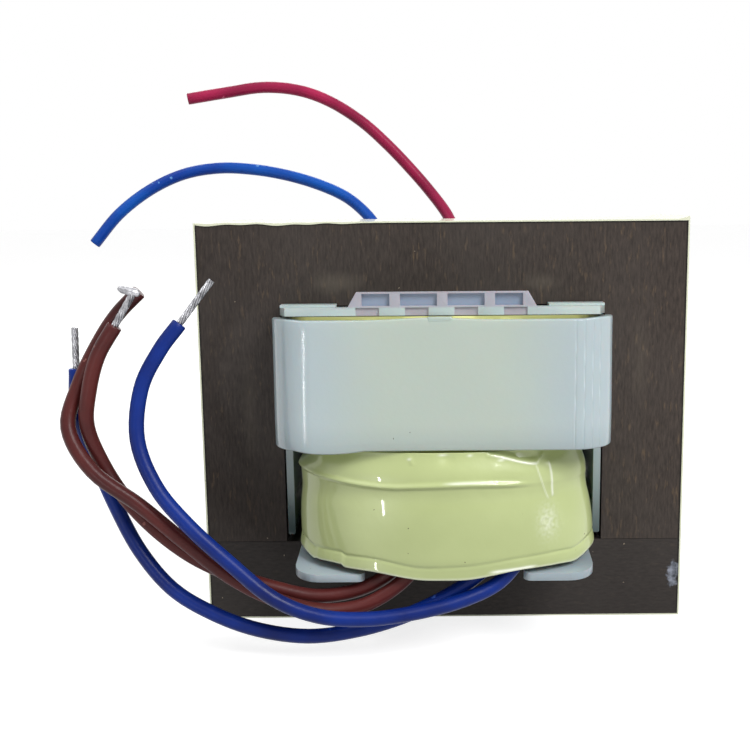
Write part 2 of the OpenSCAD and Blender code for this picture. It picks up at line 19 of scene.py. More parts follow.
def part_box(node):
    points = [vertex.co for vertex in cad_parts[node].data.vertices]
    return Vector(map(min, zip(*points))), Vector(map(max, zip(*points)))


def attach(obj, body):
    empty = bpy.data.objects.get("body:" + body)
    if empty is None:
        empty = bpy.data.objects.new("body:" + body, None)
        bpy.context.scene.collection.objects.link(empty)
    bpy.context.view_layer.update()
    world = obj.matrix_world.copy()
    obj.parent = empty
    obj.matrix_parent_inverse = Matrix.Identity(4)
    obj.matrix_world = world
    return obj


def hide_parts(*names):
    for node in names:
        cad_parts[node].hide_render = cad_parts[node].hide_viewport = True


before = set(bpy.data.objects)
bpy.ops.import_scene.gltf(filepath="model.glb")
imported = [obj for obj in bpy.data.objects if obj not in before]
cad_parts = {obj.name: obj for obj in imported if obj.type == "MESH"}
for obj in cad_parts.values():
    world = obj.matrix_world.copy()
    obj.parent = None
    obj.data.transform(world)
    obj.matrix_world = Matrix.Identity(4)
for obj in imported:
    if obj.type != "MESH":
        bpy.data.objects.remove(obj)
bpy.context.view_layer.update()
MM = 0.001

# %% [markdown]
# Three helpers come back all through the lesson. One puts an object into the scene, one
# opens a mesh for editing and writes it back, and one sets a piece on the root and hides
# the CAD nodes it stands for.

# %% Helpers for objects and meshes


def in_scene(name, data):
    """A new object with this data, linked to the scene."""
    made = bpy.data.objects.new(name, data)
    bpy.context.scene.collection.objects.link(made)
    return made


@contextmanager
def editing(mesh):
    """The mesh's bmesh, which is written back when the block ends."""
    bm = bmesh.new()
    bm.from_mesh(mesh)
    yield bm
    bm.to_mesh(mesh)
    bm.free()


def declared(piece, slot, *nodes):
    """The piece, riding on the root, with the CAD nodes that it stands for hidden. The slot is not
    used.
    """
    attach(piece, "root")
    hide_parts(*nodes)
    return piece


# %% [markdown]
# ## The camera
#
# A camera first, so that each later step can be looked at. It stands a short way in
# front and looks slightly down. The shift slides the picture inside the lens without
# turning the camera, so that upright edges stay upright. A roll of half a degree is
# what a hand-held camera has.

# %% Place the camera
FOCAL_MM = 56.31
SHIFT = (-0.0893, 0.060)
PLACE = Vector((-0.15, -171.87, 57.46)) * MM
DOWN_TILT = radians(10.383)
ROLL = radians(-0.458)

camera_data = bpy.data.cameras.new("camera")
camera_data.lens = FOCAL_MM
camera_data.shift_x, camera_data.shift_y = SHIFT
camera_data.clip_start = 0.01
camera = in_scene("camera", camera_data)
camera.matrix_world = (Matrix.Translation(PLACE) @ Matrix.Rotation(pi / 2 - DOWN_TILT, 4, "X")
                       @ Matrix.Rotation(ROLL, 4, "Z"))
bpy.context.scene.camera = camera
bpy.context.scene.view_settings.view_transform = "Standard"
print("camera lens", FOCAL_MM, "mm")

# %% [markdown]
# ## The leads
#
# Six stranded hook-up wires with a PVC jacket 1.9 mm thick come out of the bobbin.
# Such a wire is stiff enough to hold a bend, so each one follows a route of a few
# chosen points. The route could be a Bezier curve with handles, but a Catmull-Rom
# curve runs through its points with no handles to set. The points below are in
# millimetres and the helper returns metres.

# %% Routes of the leads
ROUTES = {
    "red_primary_lead": [
        (3.1, 25.6, 40), (3.1, 25.6, 43.5), (3.1, 25.6, 47), (2.9, 26.2, 50.2),
        (2.2, 27.7, 53.2), (0.8, 30, 56.2), (-1.9, 32, 59.8), (-5, 33.2, 63.4),
        (-9, 34.2, 67.6), (-13.6, 35, 71.7), (-19, 35.8, 75.1), (-24.4, 36, 77),
        (-30.4, 35.8, 77.5), (-36.5, 35, 76.6), (-42.9, 34, 75.5),
    ],
    "blue_primary_lead": [
        (-8.9, 25.6, 40), (-8.9, 25.6, 43.5), (-8.9, 25.6, 47), (-9.3, 26.3, 50.2),
        (-10.5, 28, 53.2), (-12.8, 30, 56.2), (-16.3, 31.9, 59), (-21, 33.2, 61.1),
        (-26.4, 34, 62.7), (-32, 34.2, 63.7), (-38, 34, 64), (-44, 33.2, 63),
        (-49.6, 32.2, 60.4), (-54.8, 31, 56.4), (-59, 30, 51.4),
    ],
    "blue_lead_a": [
        (11, -25.9, 15.2), (9.4, -25.95, 11.9), (6.6, -26.8, 9.2), (2, -28.4, 7.6),
        (-3.6, -29.8, 6.6), (-9.8, -31, 6.2), (-15.8, -31.7, 6.9), (-21.4, -31.8, 9.3),
        (-26.8, -31.7, 14), (-31.6, -31.4, 18.6), (-35.5, -30.8, 23.4),
        (-37.8, -29.7, 29.2), (-37.3, -28.6, 35.4), (-35, -27.8, 40), (-32.5, -27, 43.3),
    ],
    "blue_lead_b": [
        (7.4, -26.4, 15), (6, -26.4, 12.3), (3.6, -26.4, 9.8), (-0.4, -26.6, 7.3),
        (-5.6, -27.3, 5.1), (-11.4, -27.9, 3.6), (-17.6, -28.3, 3), (-24, -28.2, 3.9),
        (-29.8, -27.8, 6), (-35.1, -26.8, 9), (-39.2, -25.8, 13.7), (-42.2, -25, 19.4),
        (-44.8, -24.5, 26), (-46.6, -24.3, 32), (-46.5, -24.2, 37.4),
    ],
    "brown_lead_a": [
        (-4, -26.2, 15.4), (-5.3, -26.1, 12.8), (-7.6, -25.9, 10.2), (-11.6, -26, 8.3),
        (-16.7, -26.8, 7.9), (-22, -27.2, 9.2), (-27.4, -27.2, 11), (-32.2, -27.2, 13.4),
        (-36.6, -27.2, 16.9), (-40.4, -27, 21.1), (-43.1, -26.8, 25.6),
        (-44.6, -27.4, 30.6), (-43.9, -28, 35.2), (-42.5, -28.2, 39.5),
        (-40.2, -28.2, 43.2),
    ],
    "brown_lead_b": [
        (-1.8, -26.8, 16), (-3.2, -26.9, 12.6), (-5.9, -27.3, 9.5), (-10.4, -28, 7),
        (-15.8, -28.9, 6.7), (-21.6, -29.4, 8.4), (-27.2, -29.5, 11.5), (-32.6, -29.5, 16),
        (-38, -29.5, 20.8), (-43.7, -29.3, 25.2), (-46.9, -27.7, 30.4),
        (-45.7, -26.1, 35.6), (-43.2, -26, 40.4), (-40.6, -25.9, 44.2), (-37.6, -25.8, 47.2),
    ],
}


def metres(points):
    return [Vector(p) * MM for p in points]


def through(points, steps=6):
    """A smooth line through the points, with so many steps between two of them."""
    ends = [2 * points[0] - points[1]] + points + [2 * points[-1] - points[-2]]
    line = []
    for a, b, c, d in zip(ends, ends[1:], ends[2:], ends[3:]):
        for k in range(steps):
            t = k / steps
            line.append(0.5 * (2 * b + (c - a) * t + (2 * a - 5 * b + 4 * c - d) * t**2
                               + (3 * b - a - 3 * c + d) * t**3))
    return line + [points[-1]]


def length_of(line):
    return sum((b - a).length for a, b in zip(line, line[1:]))


lines = {name: through(metres(points)) for name, points in ROUTES.items()}
print({name: round(length_of(line) / MM, 1) for name, line in lines.items()})

# %% [markdown]
# A curve object with a bevel depth is a round tube that stays easy to edit. Each
# point's radius scales the tube, which rounds the edge of the cut jacket at its end.

# %% Make the leads
LEAD_D = 1.9 * MM
JACKET_EDGE = 0.12 * MM
CUT_SCALE = 0.88


def lead_curve(name, line):
    """A round tube along the line, with the edge of its far end rounded."""
    data = bpy.data.curves.new(name + "_jacket", "CURVE")
    data.dimensions = "3D"
    data.bevel_depth = LEAD_D / 2
    data.bevel_resolution = 6
    data.use_fill_caps = True
    run = (line[-1] - line[-2]).normalized()
    points = line[:-1] + [line[-1] - JACKET_EDGE * run, line[-1]]
    spline = data.splines.new("POLY")
    spline.points.add(len(points) - 1)
    for point, place in zip(spline.points, points):
        point.co = (*place, 1)
    spline.points[-1].radius = CUT_SCALE
    return in_scene(name + "_jacket", data)


leads = {name: lead_curve(name, line) for name, line in lines.items()}
print("leads:", ", ".join(leads))

# %% [markdown]
# ## Nodes
#
# Node trees give the twist of the strands and every finish below. A tree could be wired
# link by link, but here a helper makes a node and feeds it in one go: each input takes
# a value, or a socket to read from. Colours are written as they look on a screen and
# turned linear.

# %% Node helpers


def tone(red, green, blue):
    """Linear colour from screen values of 0 to 255."""
    channels = [c / 255 for c in (red, green, blue)]
    return (*[c / 12.92 if c < 0.04 else ((c + 0.055) / 1.055) ** 2.4 for c in channels], 1)


def feed(tree, node, *inputs, **named):
    """The node, its inputs given in order or by name; None leaves one as it is."""
    by_name = ((key.replace("_", " "), value) for key, value in named.items())
    for key, value in (*enumerate(inputs), *by_name):
        if isinstance(value, bpy.types.NodeSocket):
            tree.links.new(value, node.inputs[key])
        elif value is not None:
            node.inputs[key].default_value = value
    return node


def add(tree, kind, *inputs, settings=None, **named):
    """A new node of this kind, with its settings made and its inputs fed."""
    made = tree.nodes.new(kind)
    for key, value in (settings or {}).items():
        setattr(made, key, value)
    return feed(tree, made, *inputs, **named)


def maths(tree, operation, *inputs):
    return add(tree, "ShaderNodeMath", *inputs, settings={"operation": operation}).outputs[0]


def vectors(tree, operation, *inputs):
    """A vector math node, whose result is a Vector or a Value."""
    return add(tree, "ShaderNodeVectorMath", *inputs, settings={"operation": operation})


print("white is", tone(255, 255, 255), "and mid grey is", tone(128, 128, 128))

# %% [markdown]
# ## Bared strands
#
# Three of the front leads are stripped, and their strands are twisted and tinned. A
# twisted bundle follows a rule, so Geometry Nodes make it: one helix is drawn, swept
# with a round section, and set round the bundle's axis as often as there are strands.
# A straight middle strand fills the bundle. Drawing each strand by hand would work
# too, but here the twist and the number stay a setting.

# %% Geometry Nodes for a twisted bundle
BUNDLE_INPUTS = {"Length": ("Float", 0.005), "Bundle Radius": ("Float", 0.0003),
                 "Strand Radius": ("Float", 0.0001), "Turns": ("Float", 1.0),
                 "Strands": ("Int", 6), "Material": ("Material", None)}


def twisted_bundle_tree():
    """Tree whose inputs are the bundle's sizes, and whose axis runs up Z."""
    tree = bpy.data.node_groups.new("twisted_bundle", "GeometryNodeTree")
    tree.interface.new_socket("Geometry", in_out="OUTPUT", socket_type="NodeSocketGeometry")
    for name, (kind, value) in BUNDLE_INPUTS.items():
        socket = tree.interface.new_socket(name, in_out="INPUT", socket_type="NodeSocket" + kind)
        if value is not None:
            socket.default_value = value
    given = tree.nodes.new("NodeGroupInput").outputs
    helix = add(tree, "GeometryNodeCurveSpiral", Resolution=40, Rotations=given["Turns"],
                Start_Radius=given["Bundle Radius"], End_Radius=given["Bundle Radius"],
                Height=given["Length"])
    section = add(tree, "GeometryNodeCurvePrimitiveCircle", Resolution=10,
                  Radius=given["Strand Radius"]).outputs["Curve"]
    strand = add(tree, "GeometryNodeCurveToMesh", Curve=helix.outputs["Curve"],
                 Profile_Curve=section, Fill_Caps=True)
    places = add(tree, "GeometryNodeMeshLine", Offset=(0, 0, 0), Count=given["Strands"])
    share = maths(tree, "DIVIDE", 2 * pi, given["Strands"])
    index = add(tree, "GeometryNodeInputIndex").outputs[0]
    turn = add(tree, "ShaderNodeCombineXYZ", Z=maths(tree, "MULTIPLY", index, share))
    copies = add(tree, "GeometryNodeInstanceOnPoints", Points=places.outputs["Mesh"],
                 Instance=strand.outputs["Mesh"], Rotation=turn.outputs[0])
    top = add(tree, "ShaderNodeCombineXYZ", Z=given["Length"])
    middle = add(tree, "GeometryNodeCurvePrimitiveLine", End=top.outputs[0])
    core = add(tree, "GeometryNodeCurveToMesh", Curve=middle.outputs["Curve"],
               Profile_Curve=section, Fill_Caps=True)
    joined = add(tree, "GeometryNodeJoinGeometry", copies.outputs["Instances"])
    feed(tree, joined, core.outputs["Mesh"])
    real = add(tree, "GeometryNodeRealizeInstances", joined.outputs[0])
    smooth = add(tree, "GeometryNodeSetShadeSmooth", real.outputs[0])
    dressed = add(tree, "GeometryNodeSetMaterial", Geometry=smooth.outputs[0],
                  Material=given["Material"])
    add(tree, "NodeGroupOutput", dressed.outputs[0])
    return tree


bundle_tree = twisted_bundle_tree()
print("bundle tree has", len(bundle_tree.nodes), "nodes")

# %% [markdown]
# A modifier's inputs go by the socket's identifier, so a small helper looks each one
# up by its name. The evaluated result is then copied to a plain mesh, turned so that
# its axis runs along the lead's last run, and the modifier is dropped with the helper
# object.

# %% Turn a tree's result into a plain mesh


def grown(name, tree, place, **values):
    """A plain mesh object made by the tree with these inputs, with its place in it."""
    carrier = in_scene(name + "_carrier", bpy.data.meshes.new(name))
    modifier = carrier.modifiers.new("nodes", "NODES")
    modifier.node_group = tree
    for item in tree.interface.items_tree:
        key = item.name.replace(" ", "_")
        if item.in_out == "INPUT" and key in values:
            modifier[item.identifier] = values[key]
    bpy.context.view_layer.update()
    graph = bpy.context.evaluated_depsgraph_get()
    mesh = bpy.data.meshes.new_from_object(carrier.evaluated_get(graph))
    bpy.data.objects.remove(carrier)
    mesh.transform(place)
    return in_scene(name, mesh)


def standing_at(start, end):
    """Matrix that puts the origin at the start and turns +Z towards the end."""
    run = end - start
    return Matrix.Translation(start) @ run.to_track_quat("Z", "Y").to_matrix().to_4x4()


print("Z turned towards X:", standing_at(Vector(), Vector((1, 0, 0))).to_euler())

# %% [markdown]
# ## Materials
#
# Every finish is built from nodes. A few effects come back on several materials: soft
# patches of tone, dark specks of dirt, streaks, one ragged mark, a slope from one place
# to another. Each is a node group with its own sizes, built once, that gives a mask.
# The Principled shader stays in the material itself.

# %% Groups for patches and specks


def here(tree):
    """Socket with the shaded point's place on its piece, in metres."""
    return add(tree, "ShaderNodeTexCoord").outputs["Object"]


def spread(tree, value, low, high, kind="LINEAR"):
    """Mask that goes from 0 to 1 while a value goes from low to high."""
    return add(tree, "ShaderNodeMapRange", value, low, high,
               settings={"interpolation_type": kind}).outputs[0]


def group(name, **inputs):
    """An empty group with one output, its inputs' sockets and the place to read."""
    tree = bpy.data.node_groups.new(name, "ShaderNodeTree")
    for key, value in inputs.items():
        kind = "NodeSocketFloat" if isinstance(value, float) else "NodeSocketVector"
        tree.interface.new_socket(key, in_out="INPUT", socket_type=kind).default_value = value
    tree.interface.new_socket("Mask", in_out="OUTPUT", socket_type="NodeSocketFloat")
    return tree, tree.nodes.new("NodeGroupInput").outputs, here(tree)


def closed(tree, mask):
    """The group, with this mask as its output."""
    add(tree, "NodeGroupOutput", mask)
    return tree


def build_patches():
    """Soft patches: a mask from 0 to 1 that changes slowly over the surface."""
    tree, given, place = group("soft_patches", Scale=60.0, Stretch=(1, 1, 1), Seed=0.0)
    mapping = add(tree, "ShaderNodeMapping", Vector=place, Scale=given["Stretch"])
    cloud = add(tree, "ShaderNodeTexNoise", settings={"noise_dimensions": "4D"}, Detail=3.0,
                Vector=mapping.outputs[0], Scale=given["Scale"], W=given["Seed"])
    return closed(tree, spread(tree, cloud.outputs["Fac"], 0.35, 0.65))


def build_specks():
    """Specks of dirt: a mask that is 1 in a few small irregular dots."""
    tree, given, place = group("specks", Scale=400.0, Size=0.1, Share=0.1)
    bend = add(tree, "ShaderNodeTexNoise", Vector=place, Scale=1500.0)
    shifted = vectors(tree, "MULTIPLY_ADD", bend.outputs["Color"], (0.0006,) * 3, place)
    dots = add(tree, "ShaderNodeTexVoronoi", Vector=shifted.outputs[0], Scale=given["Scale"])
    split = add(tree, "ShaderNodeSeparateColor", dots.outputs["Color"])
    small = maths(tree, "LESS_THAN", dots.outputs["Distance"], given["Size"])
    chosen = maths(tree, "LESS_THAN", split.outputs[0], given["Share"])
    return closed(tree, maths(tree, "MULTIPLY", small, chosen))


patches_group = build_patches()
specks_group = build_specks()
print("groups:", patches_group.name, specks_group.name)

# %% [markdown]
# Each material starts from the same few lines: a Principled shader with constants on
# its own sockets, and a colour that masks lay over each other, tone by tone.

# %% Start of a material


def surface(name, **sockets):
    """A new material, its node tree and its Principled shader with these values."""
    made = bpy.data.materials.new(name)
    made.use_nodes = True
    tree = made.node_tree
    return made, tree, feed(tree, tree.nodes["Principled BSDF"], **sockets)


def ranged(tree, mask, low, high):
    """Socket that runs from low to high as the mask runs from 0 to 1."""
    return add(tree, "ShaderNodeMapRange", mask, To_Min=low, To_Max=high).outputs[0]


def mixed(tree, mask, first, second):
    """Socket with the first colour where the mask is 0 and the second where it is 1."""
    colours = [tone(*c) if isinstance(c, tuple) else c for c in (first, second)]
    # A colour mix reads its factor from input 0 and its colours from inputs 6 and 7.
    return add(tree, "ShaderNodeMix", mask, *[None] * 5, *colours,
               settings={"data_type": "RGBA"}).outputs[2]


def layered(tree, colour, *layers):
    """The colour under layers, each with its mask, its tone and how much it covers."""
    for mask, over, much in layers:
        part = mask if much == 1 else ranged(tree, mask, 0.0, much)
        colour = mixed(tree, part, colour, over)
    return colour


def use(tree, node_group, **values):
    """The mask of a group with these values."""
    return add(tree, "ShaderNodeGroup", settings={"node_tree": node_group}, **values).outputs[0]


def patches(tree, scale, seed, **more):
    return use(tree, patches_group, Scale=scale, Seed=seed, **more)


def specks(tree, scale, size, share):
    return use(tree, specks_group, Scale=scale, Size=size, Share=share)


def raised(tree, shader, height, depth, strength=1.0):
    """Bumps on the shader from a height socket, so deep in metres."""
    bump = add(tree, "ShaderNodeBump", Height=height, Distance=depth, Strength=strength)
    feed(tree, shader, Normal=bump.outputs[0])


print("materials so far:", len(bpy.data.materials))

# %% [markdown]
# ### PVC jackets
#
# PVC is soft and satin. It picks up pale scuffs and small dents, so its tone and its
# roughness wander a little, and a fine bump breaks the highlight along the wire.

# %% PVC


def pvc(name, fresh, deep, scuff):
    made, tree, shader = surface(name, Specular_IOR_Level=0.2)
    cloud = patches(tree, 120.0, 1.0)
    colour = layered(tree, mixed(tree, cloud, deep, fresh),
                     (specks(tree, 900.0, 0.25, 0.05), scuff, 1))
    feed(tree, shader, Base_Color=colour, Roughness=ranged(tree, cloud, 0.3, 0.42))
    raised(tree, shader, patches(tree, 1400.0, 2.0), 0.00002, 0.5)
    return made


blue_pvc = pvc("blue_pvc_jacket", (9, 44, 130), (4, 24, 92), (62, 98, 190))
pale_blue_pvc = pvc("pale_blue_pvc_jacket", (14, 86, 182), (8, 56, 150), (92, 142, 205))
brown_pvc = pvc("brown_pvc_jacket", (90, 37, 35), (66, 26, 26), (138, 86, 80))
red_pvc = pvc("red_pvc_jacket", (168, 28, 76), (132, 20, 60), (205, 95, 125))
print("jackets:", [m.name for m in (blue_pvc, pale_blue_pvc, brown_pvc, red_pvc)])

# %% [markdown]
# ### Tinned copper
#
# Tin on stranded wire is a dull uneven metal. A mirror would do for a new part, but this
# solder has been handled, so both its tone and its roughness wander.

# %% Tinned strands


def tinned():
    made, tree, shader = surface("tinned_copper", Metallic=1.0)
    cloud = patches(tree, 900.0, 3.0)
    feed(tree, shader, Base_Color=mixed(tree, cloud, (104, 104, 108), (186, 186, 190)),
         Roughness=ranged(tree, cloud, 0.48, 0.3))
    raised(tree, shader, patches(tree, 2500.0, 4.0), 0.00004, 0.6)
    return made


tin = tinned()
print("metal:", tin.name)

# %% [markdown]
# Each jacket now gets its plastic, rides on the root and stands for its CAD node, which is hidden.

# %% Dress the leads
JACKETS = {
    "red_primary_lead": ("red_pvc", red_pvc),
    "blue_primary_lead": ("blue_pvc", pale_blue_pvc),
    "blue_lead_a": ("blue_pvc", blue_pvc),
    "blue_lead_b": ("blue_pvc", blue_pvc),
    "brown_lead_a": ("brown_pvc", brown_pvc),
    "brown_lead_b": ("brown_pvc", brown_pvc),
}
for name, (slot, jacket) in JACKETS.items():
    leads[name].data.materials.append(jacket)
    declared(leads[name], slot, name)
print("dressed", len(JACKETS), "leads")

# %% [markdown]
# The bared ends start at the end face of a jacket and run on in its direction, each as
# long as it shows, in millimetres.

# %% Grow the bared strands
STRANDS = {"strands_a": ("blue_lead_a", 6.6), "strands_b": ("blue_lead_b", 5.2),
           "strands_c": ("brown_lead_a", 4.8)}
BUNDLE_R, STRAND_R = 0.29 * MM, 0.155 * MM
TWIST_PITCH = 5.5


def bared_end(name, lead, length):
    """The twisted strands beyond a lead's end and the place of their tip."""
    first, last = metres(ROUTES[lead][-2:])
    tip = last + (last - first).normalized() * length * MM
    piece = grown(name + "_twist", bundle_tree, standing_at(last, tip), Length=length * MM,
                  Bundle_Radius=BUNDLE_R, Strand_Radius=STRAND_R, Turns=length / TWIST_PITCH,
                  Material=tin)
    return piece, tip


twists = {name: bared_end(name, *facts) for name, facts in STRANDS.items()}
print("strand tips:", {n: tuple(round(c / MM, 1) for c in t[1]) for n, t in twists.items()})

# %% [markdown]
# Brown lead A's strands are flooded with solder, which ends in a flat head that is
# turned back. Metaballs would melt together by themselves, but their surface is hard to
# place. So each lump is a ball, stretched along a line and made uneven by waves.

# %% Solder


def solder_lump(name, start, end, radius):
    """An uneven lump of solder along a line."""
    mesh = bpy.data.meshes.new(name)
    half = (end - start) / 2
    run = half.normalized()
    with editing(mesh) as bm:
        bmesh.ops.create_icosphere(bm, subdivisions=4, radius=radius)
        for v in bm.verts:
            d = v.co.normalized()
            v.co *= 0.92 + 0.06 * sin(5 * d.x + 1) * cos(4 * d.z) + 0.05 * d.y * d.z
            v.co += (start + end) / 2 + half * d.dot(run) * (1.2 - 0.2 * abs(d.dot(run)))
    mesh.polygons.foreach_set("use_smooth", [True] * len(mesh.polygons))
    return in_scene(name, mesh)


def one_piece(name, parts):
    """The parts joined into one mesh object of this name, all of tin."""
    mesh = bpy.data.meshes.new(name)
    with editing(mesh) as bm:
        for part in parts:
            bm.from_mesh(part.data)
            bpy.data.objects.remove(part)
    mesh.materials.append(tin)
    mesh.polygons.foreach_set("material_index", [0] * len(mesh.polygons))
    return in_scene(name, mesh)


jacket_end = metres(ROUTES["brown_lead_a"])[-1]
head = twists["strands_c"][1]
back = Vector((-1, 0.1, 0.25)).normalized() * 2 * MM
solder = [solder_lump("solder_flood", jacket_end + 0.2 * (head - jacket_end), head, 0.42 * MM),
          solder_lump("solder_head", head - 0.15 * back, head + 0.5 * back, 0.6 * MM),
          solder_lump("solder_tip", head + 0.35 * back, head + 0.8 * back, 0.5 * MM)]
ends = {name: piece for name, (piece, tip) in twists.items()}
ends["strands_c"] = one_piece("strands_c_twist_and_knob", [ends["strands_c"], *solder])
for name, piece in ends.items():
    declared(piece, "tinned_copper", name)
print("bared ends:", [piece.name for piece in ends.values()])

# %% [markdown]
# A lead is a cord to whoever uses the model: it leaves the body at one place, has a
# length and a thickness, is stiff and ends bare. Here the leads are only counted.

# %% Count the leads
print("declared", len(lines), "leads")

# %% [markdown]
# ## Steel sheets
#
# The core is a stack of thin silicon-steel sheets, annealed to a dark brown oxide.
# Rolling leaves short fine streaks along each sheet. A noise that is stretched along Z
# gives them, and two of them at different sizes keep the pattern from looking like
# wood; the rarer lighter streaks are painted glints. Soft smudges lie over it. Shade is
# painted towards the lower left and the top, and as a dark line along the outer edges.

# %% Groups for streaks, slopes and one spot


def build_streaks():
    """Short streaks: a mask from 0 to 1. Draw shortens the pattern along each axis."""
    tree, given, place = group("streaks", Scale=3000.0, Draw=(1.0, 1.0, 0.2), From=0.3, To=0.7)
    mapping = add(tree, "ShaderNodeMapping", Vector=place, Scale=given["Draw"])
    grain = add(tree, "ShaderNodeTexNoise", Vector=mapping.outputs[0], Scale=given["Scale"],
                Detail=3.0, Roughness=0.6)
    return closed(tree, spread(tree, grain.outputs["Fac"], given["From"], given["To"]))


def build_slope():
    """A mask that runs from 0 at one point to 1 at another, along one direction."""
    tree, given, place = group("slope", Direction=(1.0, 0.0, 0.0), Start=0.0, End=0.03)
    along = vectors(tree, "DOT_PRODUCT", place, given["Direction"]).outputs["Value"]
    return closed(tree, spread(tree, along, given["Start"], given["End"], "SMOOTHSTEP"))


def build_spot():
    """One mark with a ragged edge: 1 within Size of Place, and 0 outside it."""
    tree, given, place = group("spot", Place=(0.0, 0.0, 0.0), Size=(1.0, 1.0, 1.0), Core=0.8,
                               Ragged=0.6, Grain=1500.0)
    away = vectors(tree, "SUBTRACT", place, given["Place"]).outputs[0]
    scaled = vectors(tree, "DIVIDE", away, given["Size"]).outputs[0]
    far = vectors(tree, "LENGTH", scaled).outputs["Value"]
    grain = add(tree, "ShaderNodeTexNoise", Vector=place, Scale=given["Grain"], Detail=2.0)
    torn = maths(tree, "MULTIPLY_ADD", grain.outputs["Fac"], given["Ragged"], far)
    return closed(tree, spread(tree, torn, 1.2, given["Core"], "SMOOTHSTEP"))


streaks_group, slope_group, spot_group = build_streaks(), build_slope(), build_spot()
RIGHT, LEFT, UP, DOWN = (1, 0, 0), (-1, 0, 0), (0, 0, 1), (0, 0, -1)


def slope(tree, direction, start, end):
    return use(tree, slope_group, Direction=direction, Start=start, End=end)


def spot(tree, place, size, core, **more):
    return use(tree, spot_group, Place=place, Size=size, Core=core, **more)


print("groups:", streaks_group.name, slope_group.name, spot_group.name)

# %% [markdown]
# The steel's face is paler in four soft places, two beside the comb's ends and one down
# each outer leg, and a chip of varnish is off near its lower right corner. They could be
# painted by hand, but a mark that has a place and a size can be moved, and stays sharp
# from close by.

# %% Rolled steel
CORE_LOW, CORE_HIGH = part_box("front_e_lamination")
# Width of the dark line of painted shade along the core's outer edges.
EDGE_SHADE_WIDTH = 0.35 * MM
PALER_PLACES = [((-0.0142, -0.013, 0.0472), (0.0050, 0.02, 0.0024), 0.24),
        ((0.0135, -0.013, 0.0472), (0.004, 0.02, 0.0020), 0.2),
        ((-0.0265, -0.013, 0.030), (0.0018, 0.02, 0.012), 0.14),
        ((0.0270, -0.013, 0.036), (0.002, 0.02, 0.010), 0.12)]
CHIP_PLACE, CHIP_SIZE = (0.0322, -0.013, 0.0062), (0.0014, 0.02, 0.0030)
# Painted shade: LOW_SHADE and HIGH_SHADE darken the steel towards its lower left and its top.
LOW_SHADE, HIGH_SHADE = ((-0.5, 0, -0.85), -0.05, 0.006), ((-0.2, 0, 0.98), 0.03, 0.056)
STEEL_SHADE, PALER_TONE, EDGE_SHADE = (28, 25, 24), (128, 118, 104), (12, 11, 12)


def shaded_edges(tree):
    """Mask of painted shade: 1 at the core's outer edges, where the tape meets the steel, and 0 a
    little way in.
    """
    right, left = [slope(tree, way, CORE_HIGH.x - EDGE_SHADE_WIDTH, CORE_HIGH.x)
                   for way in (RIGHT, LEFT)]
    top = slope(tree, UP, CORE_HIGH.z - EDGE_SHADE_WIDTH, CORE_HIGH.z)
    return maths(tree, "MAXIMUM", maths(tree, "MAXIMUM", right, left), top)


def paler_places_and_chip(tree, colour):
    """The steel's colour with its paler places and its chip."""
    paler = [(spot(tree, place, size, 0.2, Grain=400.0), PALER_TONE, much)
            for place, size, much in PALER_PLACES]
    bare = mixed(tree, patches(tree, 1300.0, 8.0), (62, 66, 74), (150, 155, 168))
    chip = spot(tree, CHIP_PLACE, CHIP_SIZE, 0.95, Ragged=1.0)
    return layered(tree, colour, *paler, (chip, bare, 0.92))


def rolled_steel(name, dark, middle, glint, draw=(1.0, 1.0, 0.2)):
    made, tree, shader = surface(name, Metallic=0.1, Specular_IOR_Level=0.25)
    fine = use(tree, streaks_group, Draw=draw)
    # The rare streaks in the glint tone are painted glints along the grain.
    rare = use(tree, streaks_group, Scale=2200.0, Draw=draw, From=0.6, To=0.78)
    smudge = patches(tree, 70.0, 7.0, Stretch=(1.0, 1.0, 0.6))
    low = slope(tree, *LOW_SHADE)
    high = slope(tree, *HIGH_SHADE)
    # Painted light on the steel: glints on the rare streaks, shade towards the lower left and the
    # top, and a line of shade along the outer edges.
    face = layered(tree, mixed(tree, fine, dark, middle), (rare, glint, 0.75),
                   (smudge, (84, 78, 74), 0.3), (low, STEEL_SHADE, 0.5), (high, STEEL_SHADE, 0.2),
                   (shaded_edges(tree), EDGE_SHADE, 1))
    marks = specks(tree, 900.0, 0.08, 0.03)
    colour = layered(tree, paler_places_and_chip(tree, face), (marks, (132, 120, 104), 1))
    feed(tree, shader, Base_Color=colour, Roughness=ranged(tree, fine, 0.62, 0.46))
    raised(tree, shader, fine, 0.00001, 0.5)
    return made


e_steel = rolled_steel("rolled_steel_e", (44, 37, 33), (72, 62, 56), (112, 92, 70))
i_steel = rolled_steel("rolled_steel_i", (38, 34, 32), (55, 49, 46), (74, 64, 56), (0.3, 1, 1))


def dress(finish, *nodes):
    """Gives carried-over CAD nodes their finish."""
    for node in nodes:
        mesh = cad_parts[node].data
        mesh.materials.clear()
        mesh.materials.append(finish)
    print(finish.name, "on", *nodes)


for ending, finish in (("e_lamination", e_steel), ("i_lamination", i_steel)):
    dress(finish, *[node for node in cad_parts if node.rstrip("s").endswith(ending)])

# %% [markdown]
# ## Hidden windings
#
# The windings don't show, but they have their finish too: enamelled copper wire lies
# in level turns, which a wave along Z gives as a bump.

# %% Enamelled copper


def wound_copper():
    made, tree, shader = surface("enamelled_copper", Metallic=0.9, Coat_Weight=0.6, Roughness=0.3)
    turns = add(tree, "ShaderNodeTexWave", settings={"bands_direction": "Z"},
                Vector=here(tree), Scale=900.0).outputs["Fac"]
    feed(tree, shader, Base_Color=mixed(tree, turns, (120, 58, 24), (202, 112, 58)))
    raised(tree, shader, turns, 0.0001)
    return made


dress(wound_copper(), "primary_winding", "inner_secondary", "outer_secondary")
dress(tin, "primary_joints", "secondary_joints")

